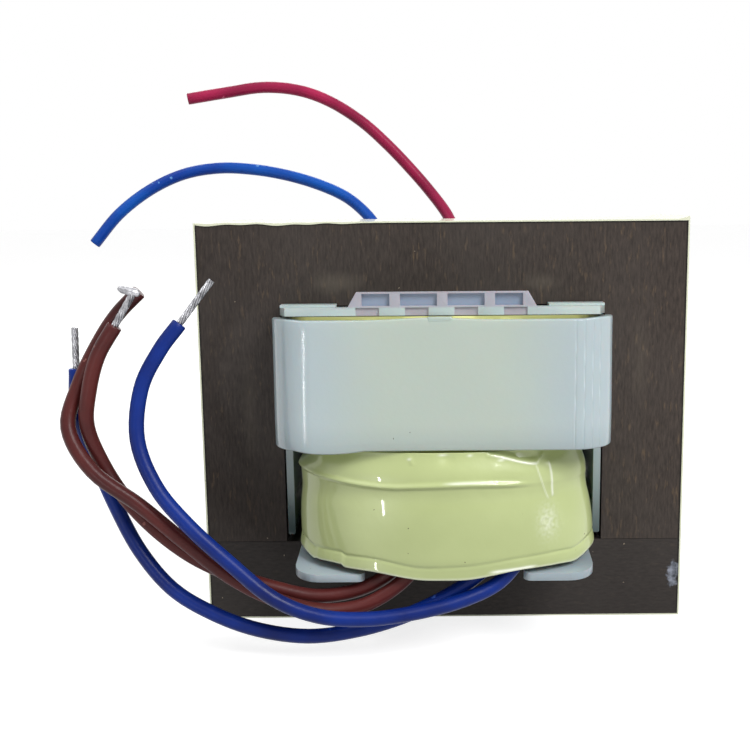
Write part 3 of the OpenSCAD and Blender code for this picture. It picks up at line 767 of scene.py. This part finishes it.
# %% [markdown]
# ## Polyester tape
#
# The coil tape is a glossy pale yellow-green film over soft layers. It shows the
# hollows below it, a few dark specks, and sharp highlights where it is creased. The
# tape round the core is duller and more cream. The primary's tape lies behind milky
# plastic that lets light through from all sides. Tracing that light would be slow, so
# the cover is opaque and this tape glows a little instead.

# %% Tape
RIM_SHADE = (-0.0138, -0.0118)
LIT_HALF = 17.2 * MM


def stored(tree, name):
    """Mask that a mesh carries as a number at each of its points."""
    made = add(tree, "ShaderNodeAttribute", settings={"attribute_name": name})
    return made.outputs["Fac"]


def film_tape(name, fresh, shade, roughness, speck_share, glow=0.0):
    made, tree, shader = surface(name, Specular_IOR_Level=0.4, Coat_Weight=0.6,
                                 Coat_Roughness=0.05, Emission_Strength=glow,
                                 Emission_Color=tone(*shade))
    cloud = patches(tree, 55.0, 11.0)
    # Painted shade: the skirt is darker towards its rim, below the belly.
    under = slope(tree, DOWN, *RIM_SHADE)
    colour = layered(tree, mixed(tree, cloud, shade, fresh), (under, (120, 128, 92), 0.25),
                     # Painted highlights: the pale tone goes where the mesh stores them, on
                     # creases, folds and edges.
                     (stored(tree, "pale"), (246, 250, 232), 1),
                     (specks(tree, 700.0, 0.07, speck_share), (96, 90, 58), 1))
    if glow:
        # Painted light: the tape glows within LIT_HALF of the middle, and beyond it is painted dark
        # as shade at the ends of the gap under the cover.
        lit = spot(tree, (0, 0, 0.03), (LIT_HALF, 1, 1), 1.0, Ragged=0.1)
        colour = mixed(tree, lit, (46, 50, 44), colour)
        feed(tree, shader, Emission_Color=mixed(tree, lit, (0, 0, 0), (214, 212, 140)))
    feed(tree, shader, Base_Color=colour,
         Roughness=ranged(tree, cloud, roughness + 0.08, roughness))
    raised(tree, shader, patches(tree, 260.0, 12.0), 0.00006, 0.5)
    return made


coil_film = film_tape("coil_tape", (193, 205, 143), (180, 192, 130), 0.3, 0.15)
core_film = film_tape("core_tape", (222, 222, 188), (206, 206, 168), 0.45, 0.05)
behind_cover = film_tape("coil_tape_behind_cover", (214, 216, 150), (206, 206, 132), 0.3, 0.05,
                         glow=0.42)
dress(coil_film, "primary_wrap", "interlayer_wrap", "secondary_wrap")
dress(behind_cover, "primary_outer_tape")

# %% [markdown]
# ## The secondary's outer tape
#
# This is the piece that shows most. Its tape is wound over the leads, so it bellies
# out in front, tucks in under the cover and flares at its lower rim over the lips. A
# subdivision cage could be sculpted, but its shape follows a rule: an outline seen
# from above, a profile from the rim up, and a few creases. So a function gives each
# point of a fine grid.

# %% Outline and profile of the tape
STACK_HALF = -CORE_LOW.y
TAPE_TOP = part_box("secondary_outer_tape")[1].z
BELLY_HALF, BELLY_FRONT, BELLY_REAR = 18.9 * MM, 29.4 * MM, 27.6 * MM
REAR_HALF = 20.1 * MM
FRONT_TURN, REAR_TURN = STACK_HALF + 6 * MM, BELLY_REAR - 5 * MM
FLOOR_Z, LEVEL_Y, SAG_REACH, SAG = 12.4 * MM, 13.2 * MM, 14.2 * MM, 1.5 * MM
RIM_GAP, SKIN = 0.05 * MM, 0.3 * MM


def smooth_step(t, low, high):
    t = min(1.0, max(0.0, (t - low) / (high - low)))
    return t * t * (3 - 2 * t)


def hill(t, width):
    """Round bump: 1 in its middle, and near 0 two widths away."""
    return exp(-((t / width) ** 2))


def pinch(t, width):
    """Sharp crest: 1 in its middle, falling off quickly on both sides."""
    return exp(-abs(t) / width)


def window(t, low, high, soft):
    """1 between two values and 0 outside them, with soft ends."""
    return smooth_step(t, low - soft, low + soft) * (1 - smooth_step(t, high - soft, high + soft))


def side_half(y):
    """Half width of the tape's sides, which spread towards the rear in the windows."""
    far_back = min(1, max(0, (y + STACK_HALF) / STACK_HALF / 2))
    return BELLY_HALF + (REAR_HALF - BELLY_HALF) * far_back


def belly_outline(front_count=300, side_count=14, rear_count=44):
    """Points (x, y) round the tape, anticlockwise from above, from the front left."""
    points = []
    for i in range(front_count):
        t = pi * (i / (front_count - 1) - 1)
        points.append((BELLY_HALF * cos(t), -FRONT_TURN + (BELLY_FRONT - FRONT_TURN) * sin(t)))
    for i in range(1, side_count):
        y = -FRONT_TURN + (FRONT_TURN + REAR_TURN) * i / side_count
        points.append((side_half(y), y))
    for i in range(rear_count):
        t = pi * i / (rear_count - 1)
        x, y = cos(t), sin(t)
        points.append((REAR_HALF * abs(x) ** (2 / 3) * (1 if x > 0 else -1),
                       REAR_TURN + (BELLY_REAR - REAR_TURN) * abs(y) ** (2 / 3)))
    for i in range(1, side_count):
        y = REAR_TURN - (FRONT_TURN + REAR_TURN) * i / side_count
        points.append((-side_half(y), y))
    return points


def rim_height(x, y):
    """Height of the lower rim, which sags in front and is nicked at its left corner."""
    out = max(0.0, (-y - LEVEL_Y) / SAG_REACH)
    x, front = x / MM, smooth_step(-y / MM, 20, 24)
    lift = 0.75 * smooth_step(abs(x), 2, 10) * (1 - 0.6 * smooth_step(abs(x), 14, 19))
    nick = 0.35 * window(x, -16.6, -12.9, 0.3)
    corner = 1.6 * smooth_step(abs(x), 15.8, 19.3) * smooth_step(-y / MM, 13.2, 16)
    return FLOOR_Z + RIM_GAP - SAG * out + (front * (lift + nick) + corner) * MM


outline = belly_outline()
print("outline of", len(outline), "points, rim in front at", rim_height(0, -BELLY_FRONT) / MM)

# %% [markdown]
# Each made mesh also carries a number at every point, "pale", which its material
# reads to paint highlights on folds, creases and edges. Its faces lie between rings of
# points that follow each other in a list.

# %% A mesh with its pale places


def skin_mesh(name, points, faces, finish, pale):
    """A smooth mesh with this finish, which stores how much painted highlight each point has."""
    mesh = bpy.data.meshes.new(name)
    mesh.from_pydata(points, [], faces)
    mesh.polygons.foreach_set("use_smooth", [True] * len(mesh.polygons))
    store(mesh, "pale", pale)
    mesh.materials.append(finish)
    return mesh


def store(mesh, name, values):
    """Puts a number on each point of the mesh under this name."""
    mesh.attributes.new(name, "FLOAT", "POINT").data.foreach_set("value", values)


def between(rings, size, start=0, flip=False, looped=False):
    """Faces from each closed ring of so many points to the next one."""
    faces = []
    for ring in range(rings if looped else rings - 1):
        near, far = start + ring * size, start + (ring + 1) % rings * size
        for i in range(size):
            a, b = ((i + 1) % size, i) if flip else (i, (i + 1) % size)
            faces.append((near + a, near + b, far + b, far + a))
    return faces


print("a cube's sides:", between(2, 4))

# %% [markdown]
# The creases are written in millimetres, because they are read off the real piece: x
# runs across the front and z up it. The upper turn of tape ends in a fold line that
# dips in the middle, and the lower turn ends just above the rim.

# %% Creases of the tape


def fold_line(x):
    """Height of the upper turn's lower edge in front, in millimetres."""
    if x < -6:
        return 22.4 + 0.0085 * (x + 6) ** 2
    return 22.4 + 0.45 * (1 - exp(-(x + 6) / 8)) - 0.35 * smooth_step(x, 2, 12)


def big_folds(x, z, rim):
    """Growth from the belly, the fold line and the flared skirt, in millimetres."""
    line = fold_line(x)
    fade = 1 - 0.9 * smooth_step(x, 7.5, 12)
    grow = 0.22 * hill(z - 16.5, 4.0) - 0.15 * hill(z - 21.2, 1.4)
    grow += fade * 0.36 * hill(z - line - 0.3, 0.34) * (1 if z > line else hill(z - line, 0.1))
    grow += 0.12 * pinch(z - line - 0.5, 0.22) * hill(x - 3, 4.5)
    grow -= 0.95 * smooth_step(z, line + 0.6, 27.1) ** 1.3
    skirt = rim + 1.45 + 0.08 * sin(x * 0.5)
    grow += 0.26 * (1 - smooth_step(z, rim, skirt)) - 0.12 * hill(z - skirt - 0.1, 0.2)
    grow += 0.9 * smooth_step(x, 10, 18) * smooth_step(-z, -24, -13.5)
    return grow - 0.8 * smooth_step(-x, 15.5, 18.5) * smooth_step(z, 24.2, 25.4)


CRINKLES = [(12.2, 19.9, 12.9, 19.1), (12.9, 19.1, 12.6, 18.3), (12.6, 18.3, 13.6, 18.0),
            (13.6, 18.0, 13.9, 18.9), (12.6, 18.3, 12.1, 17.6), (12.1, 17.6, 13.0, 17.1),
            (13.0, 17.1, 13.6, 18.0), (13.0, 17.1, 12.8, 16.2), (12.8, 16.2, 13.7, 15.9),
            (13.6, 17.2, 14.3, 16.6), (13.7, 15.9, 14.1, 14.9), (13.9, 18.9, 14.2, 20.2)]
GLINTS = [(-4.4, 26.2, 0.22), (-0.1, 26.7, 0.5), (3.4, 26.6, 0.3), (7.4, 25.9, 0.4)]


def to_segment(x, z, x1, z1, x2, z2):
    """Distance from a point to a segment."""
    dx, dz = x2 - x1, z2 - z1
    t = min(1.0, max(0.0, ((x - x1) * dx + (z - z1) * dz) / (dx * dx + dz * dz)))
    return ((x - x1 - t * dx) ** 2 + (z - z1 - t * dz) ** 2) ** 0.5


def small_creases(x, z):
    """Growth from dents and sharp creases in front, and the painted highlights on them."""
    arc = 26.5 - 1.3 * smooth_step(x, 5.6, 12.1)
    on_arc = window(x, 5.8, 12.0, 0.5)
    grow = on_arc * (0.22 * pinch(z - arc, 0.2) - 0.4 * hill(z - arc - 0.9, 0.6))
    grow += 0.15 * pinch(x - 12.1 - 0.7 * (z - 25.2), 0.2) * window(z, 25.3, 26.4, 0.2)
    upright = x - 13.6 - 0.065 * (25.2 - z)
    grow += 0.16 * pinch(upright, 0.2) * window(z, 20.9, 25.2, 0.3)
    slant = x - 11.86 - 1.5 * (max(0, 25.1 - z) / 4.6) ** 1.3
    grow += 0.09 * pinch(slant, 0.22) * window(z, 20.6, 25, 0.3)
    grow += 0.06 * pinch(x - 14 - 0.22 * (20.5 - z), 0.2) * window(z, 16.5, 20.3, 0.4)
    crumple = hill(x - 13.1, 1.1) * hill(z - 17.6, 1.9)
    crinkled = max(pinch(to_segment(x, z, *ends), 0.13) for ends in CRINKLES)
    grow += crumple * (0.12 * crinkled - 0.14)
    grow += 0.14 * pinch(x + 4.2 + 0.5 * (z - 26), 0.2) * window(z, 25.5, 26.6, 0.2)
    grow -= 0.22 * hill(x - 0.4, 0.9) * hill(z - 26.2, 0.7)
    grow -= 0.08 * hill(x + 14.2, 2) * hill(z - 18.5, 4) + 0.08 * hill(x + 9.5, 3) * hill(z - 19, 3)
    # Painted highlights: the crescent, the upright and slanted creases, the fold's crest, a line
    # above the rim, the glints and the crumpled patch.
    shine = on_arc * hill(z - arc, 0.14) * smooth_step(x, 5.5, 8)
    shine += 0.9 * hill(upright, 0.11) * window(z, 20.9, 25.2, 0.3)
    shine += 0.45 * hill(slant, 0.1) * window(z, 20.6, 25, 0.3)
    shine += 0.9 * hill(z - fold_line(x) - 0.62, 0.13) * window(x, 0.6, 6.2, 1.2)
    shine += 1.1 * hill(z - 11.6 - 0.06 * (x - 6), 0.17) * window(x, 6, 11.4, 0.8)
    for at, height, width in GLINTS:
        shine += 0.8 * hill(x - at, width) * hill(z - height, 0.14)
    grain = 0.5 + 0.8 * noise.noise(Vector((x * 3.2, z * 2.6, 7.0)))
    return grow, min(1.0, shine + crumple * (0.62 * max(0.0, grain) + 0.25 * crinkled ** 2))


print("the fold line dips to", min(fold_line(x) for x in range(-18, 14)), "mm")

# %% [markdown]
# The skin is a closed sheet: a fine grid outside, a coarse one inside, and a strip
# along each rim.

# %% Build the tape


def build_tape(levels=110, inner_step=10):
    """Closed skin of the outer tape, with points outside, then points inside."""
    n = len(outline)
    points, pale, rows = [], [], []
    for skin, step in ((0, 1), (SKIN, inner_step)):
        rows.append(len(range(0, levels + 1, step)))
        for row in range(0, levels + 1, step):
            v = row / levels
            for i, (x, y) in enumerate(outline):
                (ax, ay), (bx, by) = outline[i - 1], outline[(i + 1) % n]
                away = Vector((by - ay, ax - bx, 0)).normalized()
                front = smooth_step(-y / MM, 15, 22)
                rim = rim_height(x, y)
                z = rim + (TAPE_TOP - rim) * v
                grow, white = small_creases(x / MM, z / MM)
                grow *= front
                grow += big_folds(x / MM if y < 0 else 0, z / MM, rim / MM)
                place = Vector((x, y, 0)) + away * (grow * MM - skin)
                place.z = z
                points.append(place)
                # The lower rim's edge also gets a painted highlight.
                pale.append(max(front * white, 0.55 * hill(v, 0.012)))
    start = rows[0] * n
    quads = between(rows[0], n) + between(rows[1], n, start, flip=True)
    last, inner_last = start - n, start + (rows[1] - 1) * n
    for i in range(n):
        j = (i + 1) % n
        quads.append((j, i, start + i, start + j))
        quads.append((last + i, last + j, inner_last + j, inner_last + i))
    return skin_mesh("secondary_outer_tape_skin", points, quads, coil_film, pale)


tape = declared(in_scene("secondary_tape_skin", build_tape()), "coil_tape",
                "secondary_outer_tape")
print("tape faces:", len(tape.data.polygons))

# %% [markdown]
# ## Milky plastic
#
# The bobbin and the covers are moulded in milky, slightly see-through plastic. It
# looks bluish over steel, greener over the yellow tape, and pinkish where it is a thin
# film. Real translucency would need the light to pass several walls, so its result is
# written as tones that change over the piece, and a little subsurface light softens it.

# %% Plastic
ARM_TOP_Z, ARM_BOTTOM_Z = 27.0 * MM, 14.0 * MM
COMB_FOOT_Z, FLANGE_LOW_Z = 45.1 * MM, 44.1 * MM
COMB_FACE_Y, COMB_HALF = 27.4 * MM, 11.7 * MM
LIPS_BELOW_Z = 12.5 * MM
FACE_FADE, FOOT_SHADE, SOFT_EDGE = (0.006, 0.019), (-0.031, -0.0274), 0.2 * MM
MILKY = {"Subsurface_Weight": 0.15, "IOR": 1.49, "Subsurface_Scale": 0.0008}


def cover_plastic():
    made, tree, shader = surface("cover_plastic", Roughness=0.14, **MILKY)
    across = add(tree, "ShaderNodeSeparateXYZ", here(tree)).outputs["X"]
    side = spread(tree, maths(tree, "ABSOLUTE", across), *FACE_FADE, "SMOOTHSTEP")
    foot = slope(tree, DOWN, *FOOT_SHADE)
    low_arm = slope(tree, DOWN, -ARM_TOP_Z, -ARM_BOTTOM_Z)
    arm_tone = mixed(tree, low_arm, (106, 124, 130), (62, 80, 82))
    colour = layered(tree, mixed(tree, side, (186, 199, 188), (178, 194, 202)),
                     (patches(tree, 30.0, 21.0), (196, 206, 196), 0.3),
                     (foot, (140, 154, 158), 0.3), (stored(tree, "over_steel"), arm_tone, 1),
                     # Painted highlights along the score lines, where the mesh stores them as pale.
                     (stored(tree, "pale"), (222, 232, 238), 1),
                     (specks(tree, 500.0, 0.06, 0.1), (118, 120, 112), 1))
    feed(tree, shader, Base_Color=colour)
    raised(tree, shader, patches(tree, 1500.0, 22.0), 0.000012, 0.5)
    return made


def bobbin_plastic(name, thick, thin, roughness=0.3, comb_thin=0.0):
    made, tree, shader = surface(name, Roughness=roughness, **MILKY)
    comb = slope(tree, UP, COMB_FOOT_Z - SOFT_EDGE, COMB_FOOT_Z + SOFT_EDGE)
    inner = spot(tree, (0, 0, COMB_FOOT_Z), (0.0118, 1, 1), 1.1, Ragged=0.0)
    colour = layered(tree, mixed(tree, patches(tree, 90.0, 23.0), thick, thin),
                     (maths(tree, "MULTIPLY", comb, inner), (170, 166, 178), comb_thin),
                     (specks(tree, 700.0, 0.08, 0.06), (118, 120, 116), 1))
    feed(tree, shader, Base_Color=colour)
    raised(tree, shader, patches(tree, 700.0, 24.0), 0.00002, 0.4)
    return made


milky_cover = cover_plastic()
milky_bobbin = bobbin_plastic("bobbin_plastic", (178, 194, 196), (192, 206, 202), comb_thin=0.85)
lip_plastic = bobbin_plastic("bobbin_lips", (154, 168, 176), (166, 179, 185))
blue_film = bobbin_plastic("bobbin_window_film", (134, 150, 172), (146, 160, 180), 0.2)
pink_film = bobbin_plastic("bobbin_thin_film", (164, 160, 170), (176, 172, 178))
print("plastics:", [m.name for m in (milky_cover, milky_bobbin, lip_plastic, blue_film, pink_film)])

# %% [markdown]
# ## The covers
#
# A cover is one bent wall: an arm in each window, two round corners and a face. A
# Solidify modifier on a sheet would do, but the arms and the face have different walls
# and heights. So a closed section, with rounded rims, is set at each column of a path
# seen from above, and neighbouring sections are joined.

# %% Path and heights of a cover, from the CAD model
COVER_LOW, COVER_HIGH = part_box("front_cover")
CORNER, FACE_WALL, ARM_WALL = 5.5 * MM, 1.2 * MM, 1.0 * MM
COVER_X, COVER_Y = COVER_HIGH.x, -COVER_LOW.y
FACE_LOW, FACE_TOP, ARM_HIGH = 27.2 * MM, 43.6 * MM, 42.95 * MM
ARM_LOW, ARM_END = COVER_LOW.z, STACK_HALF + 1 * MM
RISE_FROM, RISE_TO = 21.7 * MM, 22.6 * MM
RIM_R = 0.22 * MM
SCORES = [radians(a) for a in (51, 63, 75, 87)]
SCORE_HALF = radians(1.3)


def cover_columns():
    """Columns (x, y, out x, out y, pale) from the right arm round to the left one."""
    depths = [0.05, 1.5, 3, 4.5, 6, 7.5, 9, 10.5, 12, 13.2, 13.9, 14.05, 14.3, 15, 16, 17, 18,
              19, 20, 21, 21.7, 22.1, 22.6]
    centre_x, centre_y = COVER_X - CORNER, COVER_Y - CORNER
    angles = sorted([pi / 2 * k / 30 for k in range(31)]
                    + [a + d for a in SCORES for d in (-SCORE_HALF, 0, SCORE_HALF)])
    right = [(COVER_X, -d * MM, 1, 0, 0) for d in depths]
    for a in angles:
        scored = 1 if min(abs(a - score) for score in SCORES) < 1e-6 else 0
        right.append((centre_x + CORNER * cos(a), -centre_y - CORNER * sin(a),
                      cos(a), -sin(a), scored))
    left = [(-x, y, -ox, oy, 0) for x, y, ox, oy, scored in reversed(right)]
    count = 90
    face = [(centre_x * (1 - 2 * k / count), -COVER_Y, 0, -1, 0) for k in range(1, count)]
    return right + face + left


def cover_heights(x, y):
    """Lower and upper edge at a column: an arched lip below, a waved rim above."""
    depth, x = -y, x / MM
    if depth < ARM_END:
        return ARM_LOW + 0.12 * MM * sin(depth / MM * 5), ARM_HIGH
    lip = 0.38 * max(0.0, 1 - ((x + 14.4) / 4.4) ** 2) * (depth > CORNER * 2)
    top = ARM_HIGH + (FACE_TOP - ARM_HIGH) * smooth_step(depth, RISE_FROM, RISE_TO)
    rise = 0.28 * hill(x + 1.5, 4.8) + 0.1 * smooth_step(abs(x), 17.2, 19.2)
    return FACE_LOW - lip * MM, top + rise * MM * smooth_step(depth / MM, 24, 26)


def cover_section(low, high, wall, rows=14):
    """Closed ring of (depth into the wall, z), from the outer lower rim round."""
    turn = [pi / 2 * k / 3 for k in range(4)]
    ring = [(RIM_R * (1 - sin(a)), low + RIM_R * (1 - cos(a))) for a in turn]
    tall = high - low - 2 * RIM_R
    ring += [(0, low + RIM_R + tall * k / rows) for k in range(1, rows)]
    ring += [(RIM_R * (1 - cos(a)), high - RIM_R * (1 - sin(a))) for a in turn]
    inner = 0.2 * MM
    ring += [(wall - inner, high), (wall, high - inner), (wall, (low + high) / 2)]
    return ring + [(wall, low + inner), (wall - inner, low)]


print("a cover has", len(cover_columns()), "columns")

# %% [markdown]
# The cover's catch is a small block with bevelled edges. It joins the shell in one mesh,
# since the two are one moulding. The rear cover is the same one, turned round.

# %% Build a cover
HALF_TURN = Matrix.Rotation(pi, 4, "Z")
CATCH_FROM, CATCH_TO, CATCH_DEPTH = -1.8 * MM, 1.2 * MM, 0.7 * MM


def cover_shell(name):
    """The cover's mesh, in front."""
    points, pale, backed, count = [], [], [], 0
    columns = cover_columns()
    for x, y, out_x, out_y, scored in columns:
        low, high = cover_heights(x, y)
        wall = ARM_WALL + (FACE_WALL - ARM_WALL) * smooth_step(-y / MM, 19, 24)
        ring = cover_section(low, high, wall)
        count = len(ring)
        for depth, z in ring:
            outer = depth < RIM_R
            wave = 0.035 * sin(x / MM * 0.45 + 1) * cos(z / MM * 0.3) * (-y > COVER_Y - CORNER)
            # Painted highlight: thin pale lines down the right corner's outer face, along its score
            # lines.
            score_highlight = scored * (0.45 + 0.55 * sin(z / MM * 1.7 + 40 * out_x)) if outer else 0
            score_highlight *= window(z / MM, 30.5, 41, 2)
            inward = depth + (0.03 + 0.05 * scored) * MM * outer - wave * outer * MM
            points.append((x - out_x * inward, y - out_y * inward, z))
            pale.append(max(0.0, 0.6 * score_highlight))
            backed.append(1.0 if z < FACE_LOW - 0.1 * MM and -y < ARM_END else 0.0)
    faces = between(len(columns), count)
    faces.append(tuple(range(count)))
    faces.append(tuple((len(columns) - 1) * count + i for i in reversed(range(count))))
    mesh = skin_mesh(name, points, faces, milky_cover, pale)
    store(mesh, "over_steel", backed)
    return mesh


def outward(mesh):
    """The mesh with its faces turned outwards and its sharp edges kept sharp."""
    with editing(mesh) as bm:
        bmesh.ops.recalc_face_normals(bm, faces=bm.faces)
    mesh.set_sharp_from_angle(angle=radians(45))
    return mesh


def block(name, low, high, edge=0.15 * MM):
    """A small block with bevelled edges."""
    mesh = bpy.data.meshes.new(name)
    with editing(mesh) as bm:
        bmesh.ops.create_cube(bm, size=1)
        for v in bm.verts:
            v.co = [l + (h - l) * (c + 0.5) for l, h, c in zip(low, high, v.co)]
        bmesh.ops.bevel(bm, geom=bm.edges[:], offset=edge, segments=2, affect="EDGES",
                        profile=0.5)
    return mesh


def whole_cover(name, node, turned):
    """A cover with its catch, in one mesh, that stands for its CAD node."""
    mesh = cover_shell(name)
    catch = block("catch", (CATCH_FROM, -COVER_Y, FACE_TOP - 0.3 * MM),
                  (CATCH_TO, -COVER_Y + CATCH_DEPTH, COVER_HIGH.z))
    if turned:
        mesh.transform(HALF_TURN)
        catch.transform(HALF_TURN)
    outward(mesh)
    with editing(mesh) as bm:
        bm.from_mesh(catch)
    return declared(in_scene(name, mesh), "cover_plastic", node)


covers = [whole_cover("front_cover_shell", "front_cover", False),
          whole_cover("rear_cover_shell", "rear_cover", True)]
print("faces of the covers:", [len(cover.data.polygons) for cover in covers])

# %% [markdown]
# ## The bobbin
#
# The bobbin's shape is right in CAD, but every edge there is sharp, and a real
# moulding's edges are rounded by its tool. A copy of the CAD mesh is merged, its flat
# faces are joined, and a Bevel modifier rounds its edges. Faces are given their own
# tone by where they lie: the films, the ribs between them, and the lips.

# %% Bobbin


def bobbin_tone(centre, normal):
    """Number of the material for a face with this middle and this normal."""
    if centre.z < LIPS_BELOW_Z and abs(centre.y) > STACK_HALF:
        return 1
    if abs(normal.y) < 0.9 or abs(centre.x) > COMB_HALF or centre.z < FLANGE_LOW_Z:
        return 0
    depth = COMB_FACE_Y - abs(centre.y)
    if centre.z > COMB_FOOT_Z:
        return 2 if depth > 0.3 * MM else 0
    return 3 if depth > 0.1 * MM else 0


def softened(node, name, finishes, slot, width):
    """A copy of a CAD node with its flat faces joined and its edges rounded."""
    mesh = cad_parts[node].data.copy()
    with editing(mesh) as bm:
        bmesh.ops.remove_doubles(bm, verts=bm.verts, dist=0.002 * MM)
        bmesh.ops.dissolve_limit(bm, angle_limit=radians(0.5), verts=bm.verts, edges=bm.edges)
    mesh.materials.clear()
    for finish in finishes:
        mesh.materials.append(finish)
    for face in mesh.polygons:
        face.use_smooth = True
        face.material_index = bobbin_tone(face.center, face.normal)
    piece = declared(in_scene(name, mesh), slot, node)
    bevel = piece.modifiers.new("edges", "BEVEL")
    bevel.width, bevel.segments = width, 2
    bevel.limit_method, bevel.angle_limit = "ANGLE", radians(35)
    bevel.use_clamp_overlap = True
    bevel.harden_normals = True
    return piece


bobbin = softened("bobbin", "bobbin_moulding", [milky_bobbin, lip_plastic, blue_film, pink_film],
                  "bobbin_nylon", 0.1 * MM)
print("bobbin faces before the bevel:", len(bobbin.data.polygons))

# %% [markdown]
# ## Tape round the core
#
# The core's tape is a band round its four narrow sides. In front it stands a little
# proud of the steel and its edge waves down over the corner, which the CAD band can't
# show. So a ring of four points is set at each step round the outline.

# %% Core tape
BAND_T, FLAP = 0.2 * MM, 1.6 * MM
PROUD = 0.2 * MM


def band_outline():
    """Outer points (x, z) round the core, with the loose end at the top right."""
    right, top = CORE_HIGH.x + BAND_T, CORE_HIGH.z + BAND_T
    steps = 120
    across = [(-right + (2 * right - FLAP) * k / steps, top) for k in range(steps + 1)]
    lifted = [(right - FLAP * 0.5, top + 0.16 * MM), (right, top + 0.4 * MM),
              (right, top + 0.3 * MM)]
    down = [(right, top * (1 - k / 20)) for k in range(1, 21)]
    under = [(right * (1 - 2 * k / 20), 0) for k in range(1, 21)]
    up = [(-right, top * k / 40) for k in range(1, 40)]
    return across + lifted + down + under + up


def band_mesh():
    """The band as a closed tube of four-point sections."""
    points, pale = [], []
    outline = band_outline()
    for x, z in outline:
        inner_x = max(-CORE_HIGH.x, min(CORE_HIGH.x, x))
        inner_z = max(BAND_T, min(CORE_HIGH.z, z))
        wave = 0.5 + 0.25 * sin(x / MM * 0.62 + 2.2) + 0.25 * sin(x / MM * 1.37 + 0.5)
        droop = 0.3 * wave * smooth_step(-x / MM, 8, 18) * (z > CORE_HIGH.z) * MM
        front = -STACK_HALF - PROUD * (0.4 + 0.6 * wave) * (z > 1 * MM)
        points += [(x, front, z - droop * 0.6), (x, STACK_HALF, z),
                   (inner_x, STACK_HALF, inner_z), (inner_x, front, inner_z - droop)]
        # The pale numbers paint a highlight on the band, strongest at its front and outer edges.
        pale += [0.5, 0.3, 0.0, 0.4]
    faces = between(len(outline), 4, looped=True)
    return outward(skin_mesh("core_tape_band", points, faces, core_film, pale))


band = declared(in_scene("core_tape_band", band_mesh()), "core_tape", "core_tape")
print("band faces:", len(band.data.polygons))

# %% [markdown]
# ## Floor, world and lamps
#
# A plain pale floor. It looks white to the camera, by glowing for it alone, and still
# takes a faint shadow. A white floor with no glow would need far brighter lamps.

# %% Floor
HALF = 3.0
floor_mesh = bpy.data.meshes.new("floor")
floor_mesh.from_pydata([(-HALF, -HALF, 0), (HALF, -HALF, 0), (HALF, HALF, 0),
                        (-HALF, HALF, 0)], [], [(0, 1, 2, 3)])
floor = in_scene("floor", floor_mesh)


def seen_directly(tree):
    """Socket that is 1 for what the camera, a reflection or clear plastic sees."""
    path = add(tree, "ShaderNodeLightPath").outputs
    seen = maths(tree, "MAXIMUM", path["Is Camera Ray"], path["Is Glossy Ray"])
    return maths(tree, "MAXIMUM", seen, path["Is Transmission Ray"])


def floor_material():
    made, tree, shader = surface("pale_floor", Roughness=0.9, Specular_IOR_Level=0.1,
                                 Base_Color=(0.45, 0.45, 0.45, 1), Emission_Color=(1, 1, 1, 1))
    feed(tree, shader, Emission_Strength=ranged(tree, seen_directly(tree), 0.0, 0.8))
    return made


floor_mesh.materials.append(floor_material())
print("floor:", 2 * HALF, "m wide")

# %% [markdown]
# The world is white for the camera and for reflections, and greyer as a light, so that
# the background stays plain while the lamps still shape the piece.

# %% World


def build_world():
    world = bpy.data.worlds.new("world")
    bpy.context.scene.world = world
    world.use_nodes = True
    tree = world.node_tree
    feed(tree, tree.nodes["Background"], Color=(1, 1, 1, 1),
         Strength=ranged(tree, seen_directly(tree), 0.32, 1.0))
    return world


print("world:", build_world().name)

# %% [markdown]
# A soft key from the right and two wide fills give the plain light of a workbench. A
# small lamp above the key makes the sharp glints on the creased tape, and a thin strip
# from the left makes the white line down the cover's rounded corner.

# %% Lamps
MIDDLE = (0, 0, 0.03)
COVER_CORNER = (-0.0175, -0.028, 0.036)
LAMPS = {
    "key_right": ((0.36, -0.42, 0.48), MIDDLE, (0.30, 0.30), 3.6),
    "glint": ((0.30, -0.40, 0.58), MIDDLE, (0.05, 0.05), 0.4),
    "strip_left": ((-0.084, -0.151, 0.019), COVER_CORNER, (0.0026, 0.034), 0.015),
    "fill_back": ((-0.1, 0.5, 0.35), MIDDLE, (0.4, 0.4), 1.2),
    "fill_top": ((-0.30, -0.2, 0.6), MIDDLE, (0.5, 0.5), 1.0),
}


def lamp(name, place, aim, size, power):
    """An area lamp at a place that looks at its aim, so large in metres."""
    data = bpy.data.lights.new(name, "AREA")
    data.shape = "RECTANGLE"
    data.size, data.size_y = size
    data.energy = power
    made = in_scene(name, data)
    made.location = place
    made.rotation_euler = (Vector(aim) - Vector(place)).to_track_quat("-Z", "Y").to_euler()


for name, facts in LAMPS.items():
    lamp(name, *facts)
print("lamps:", ", ".join(LAMPS))
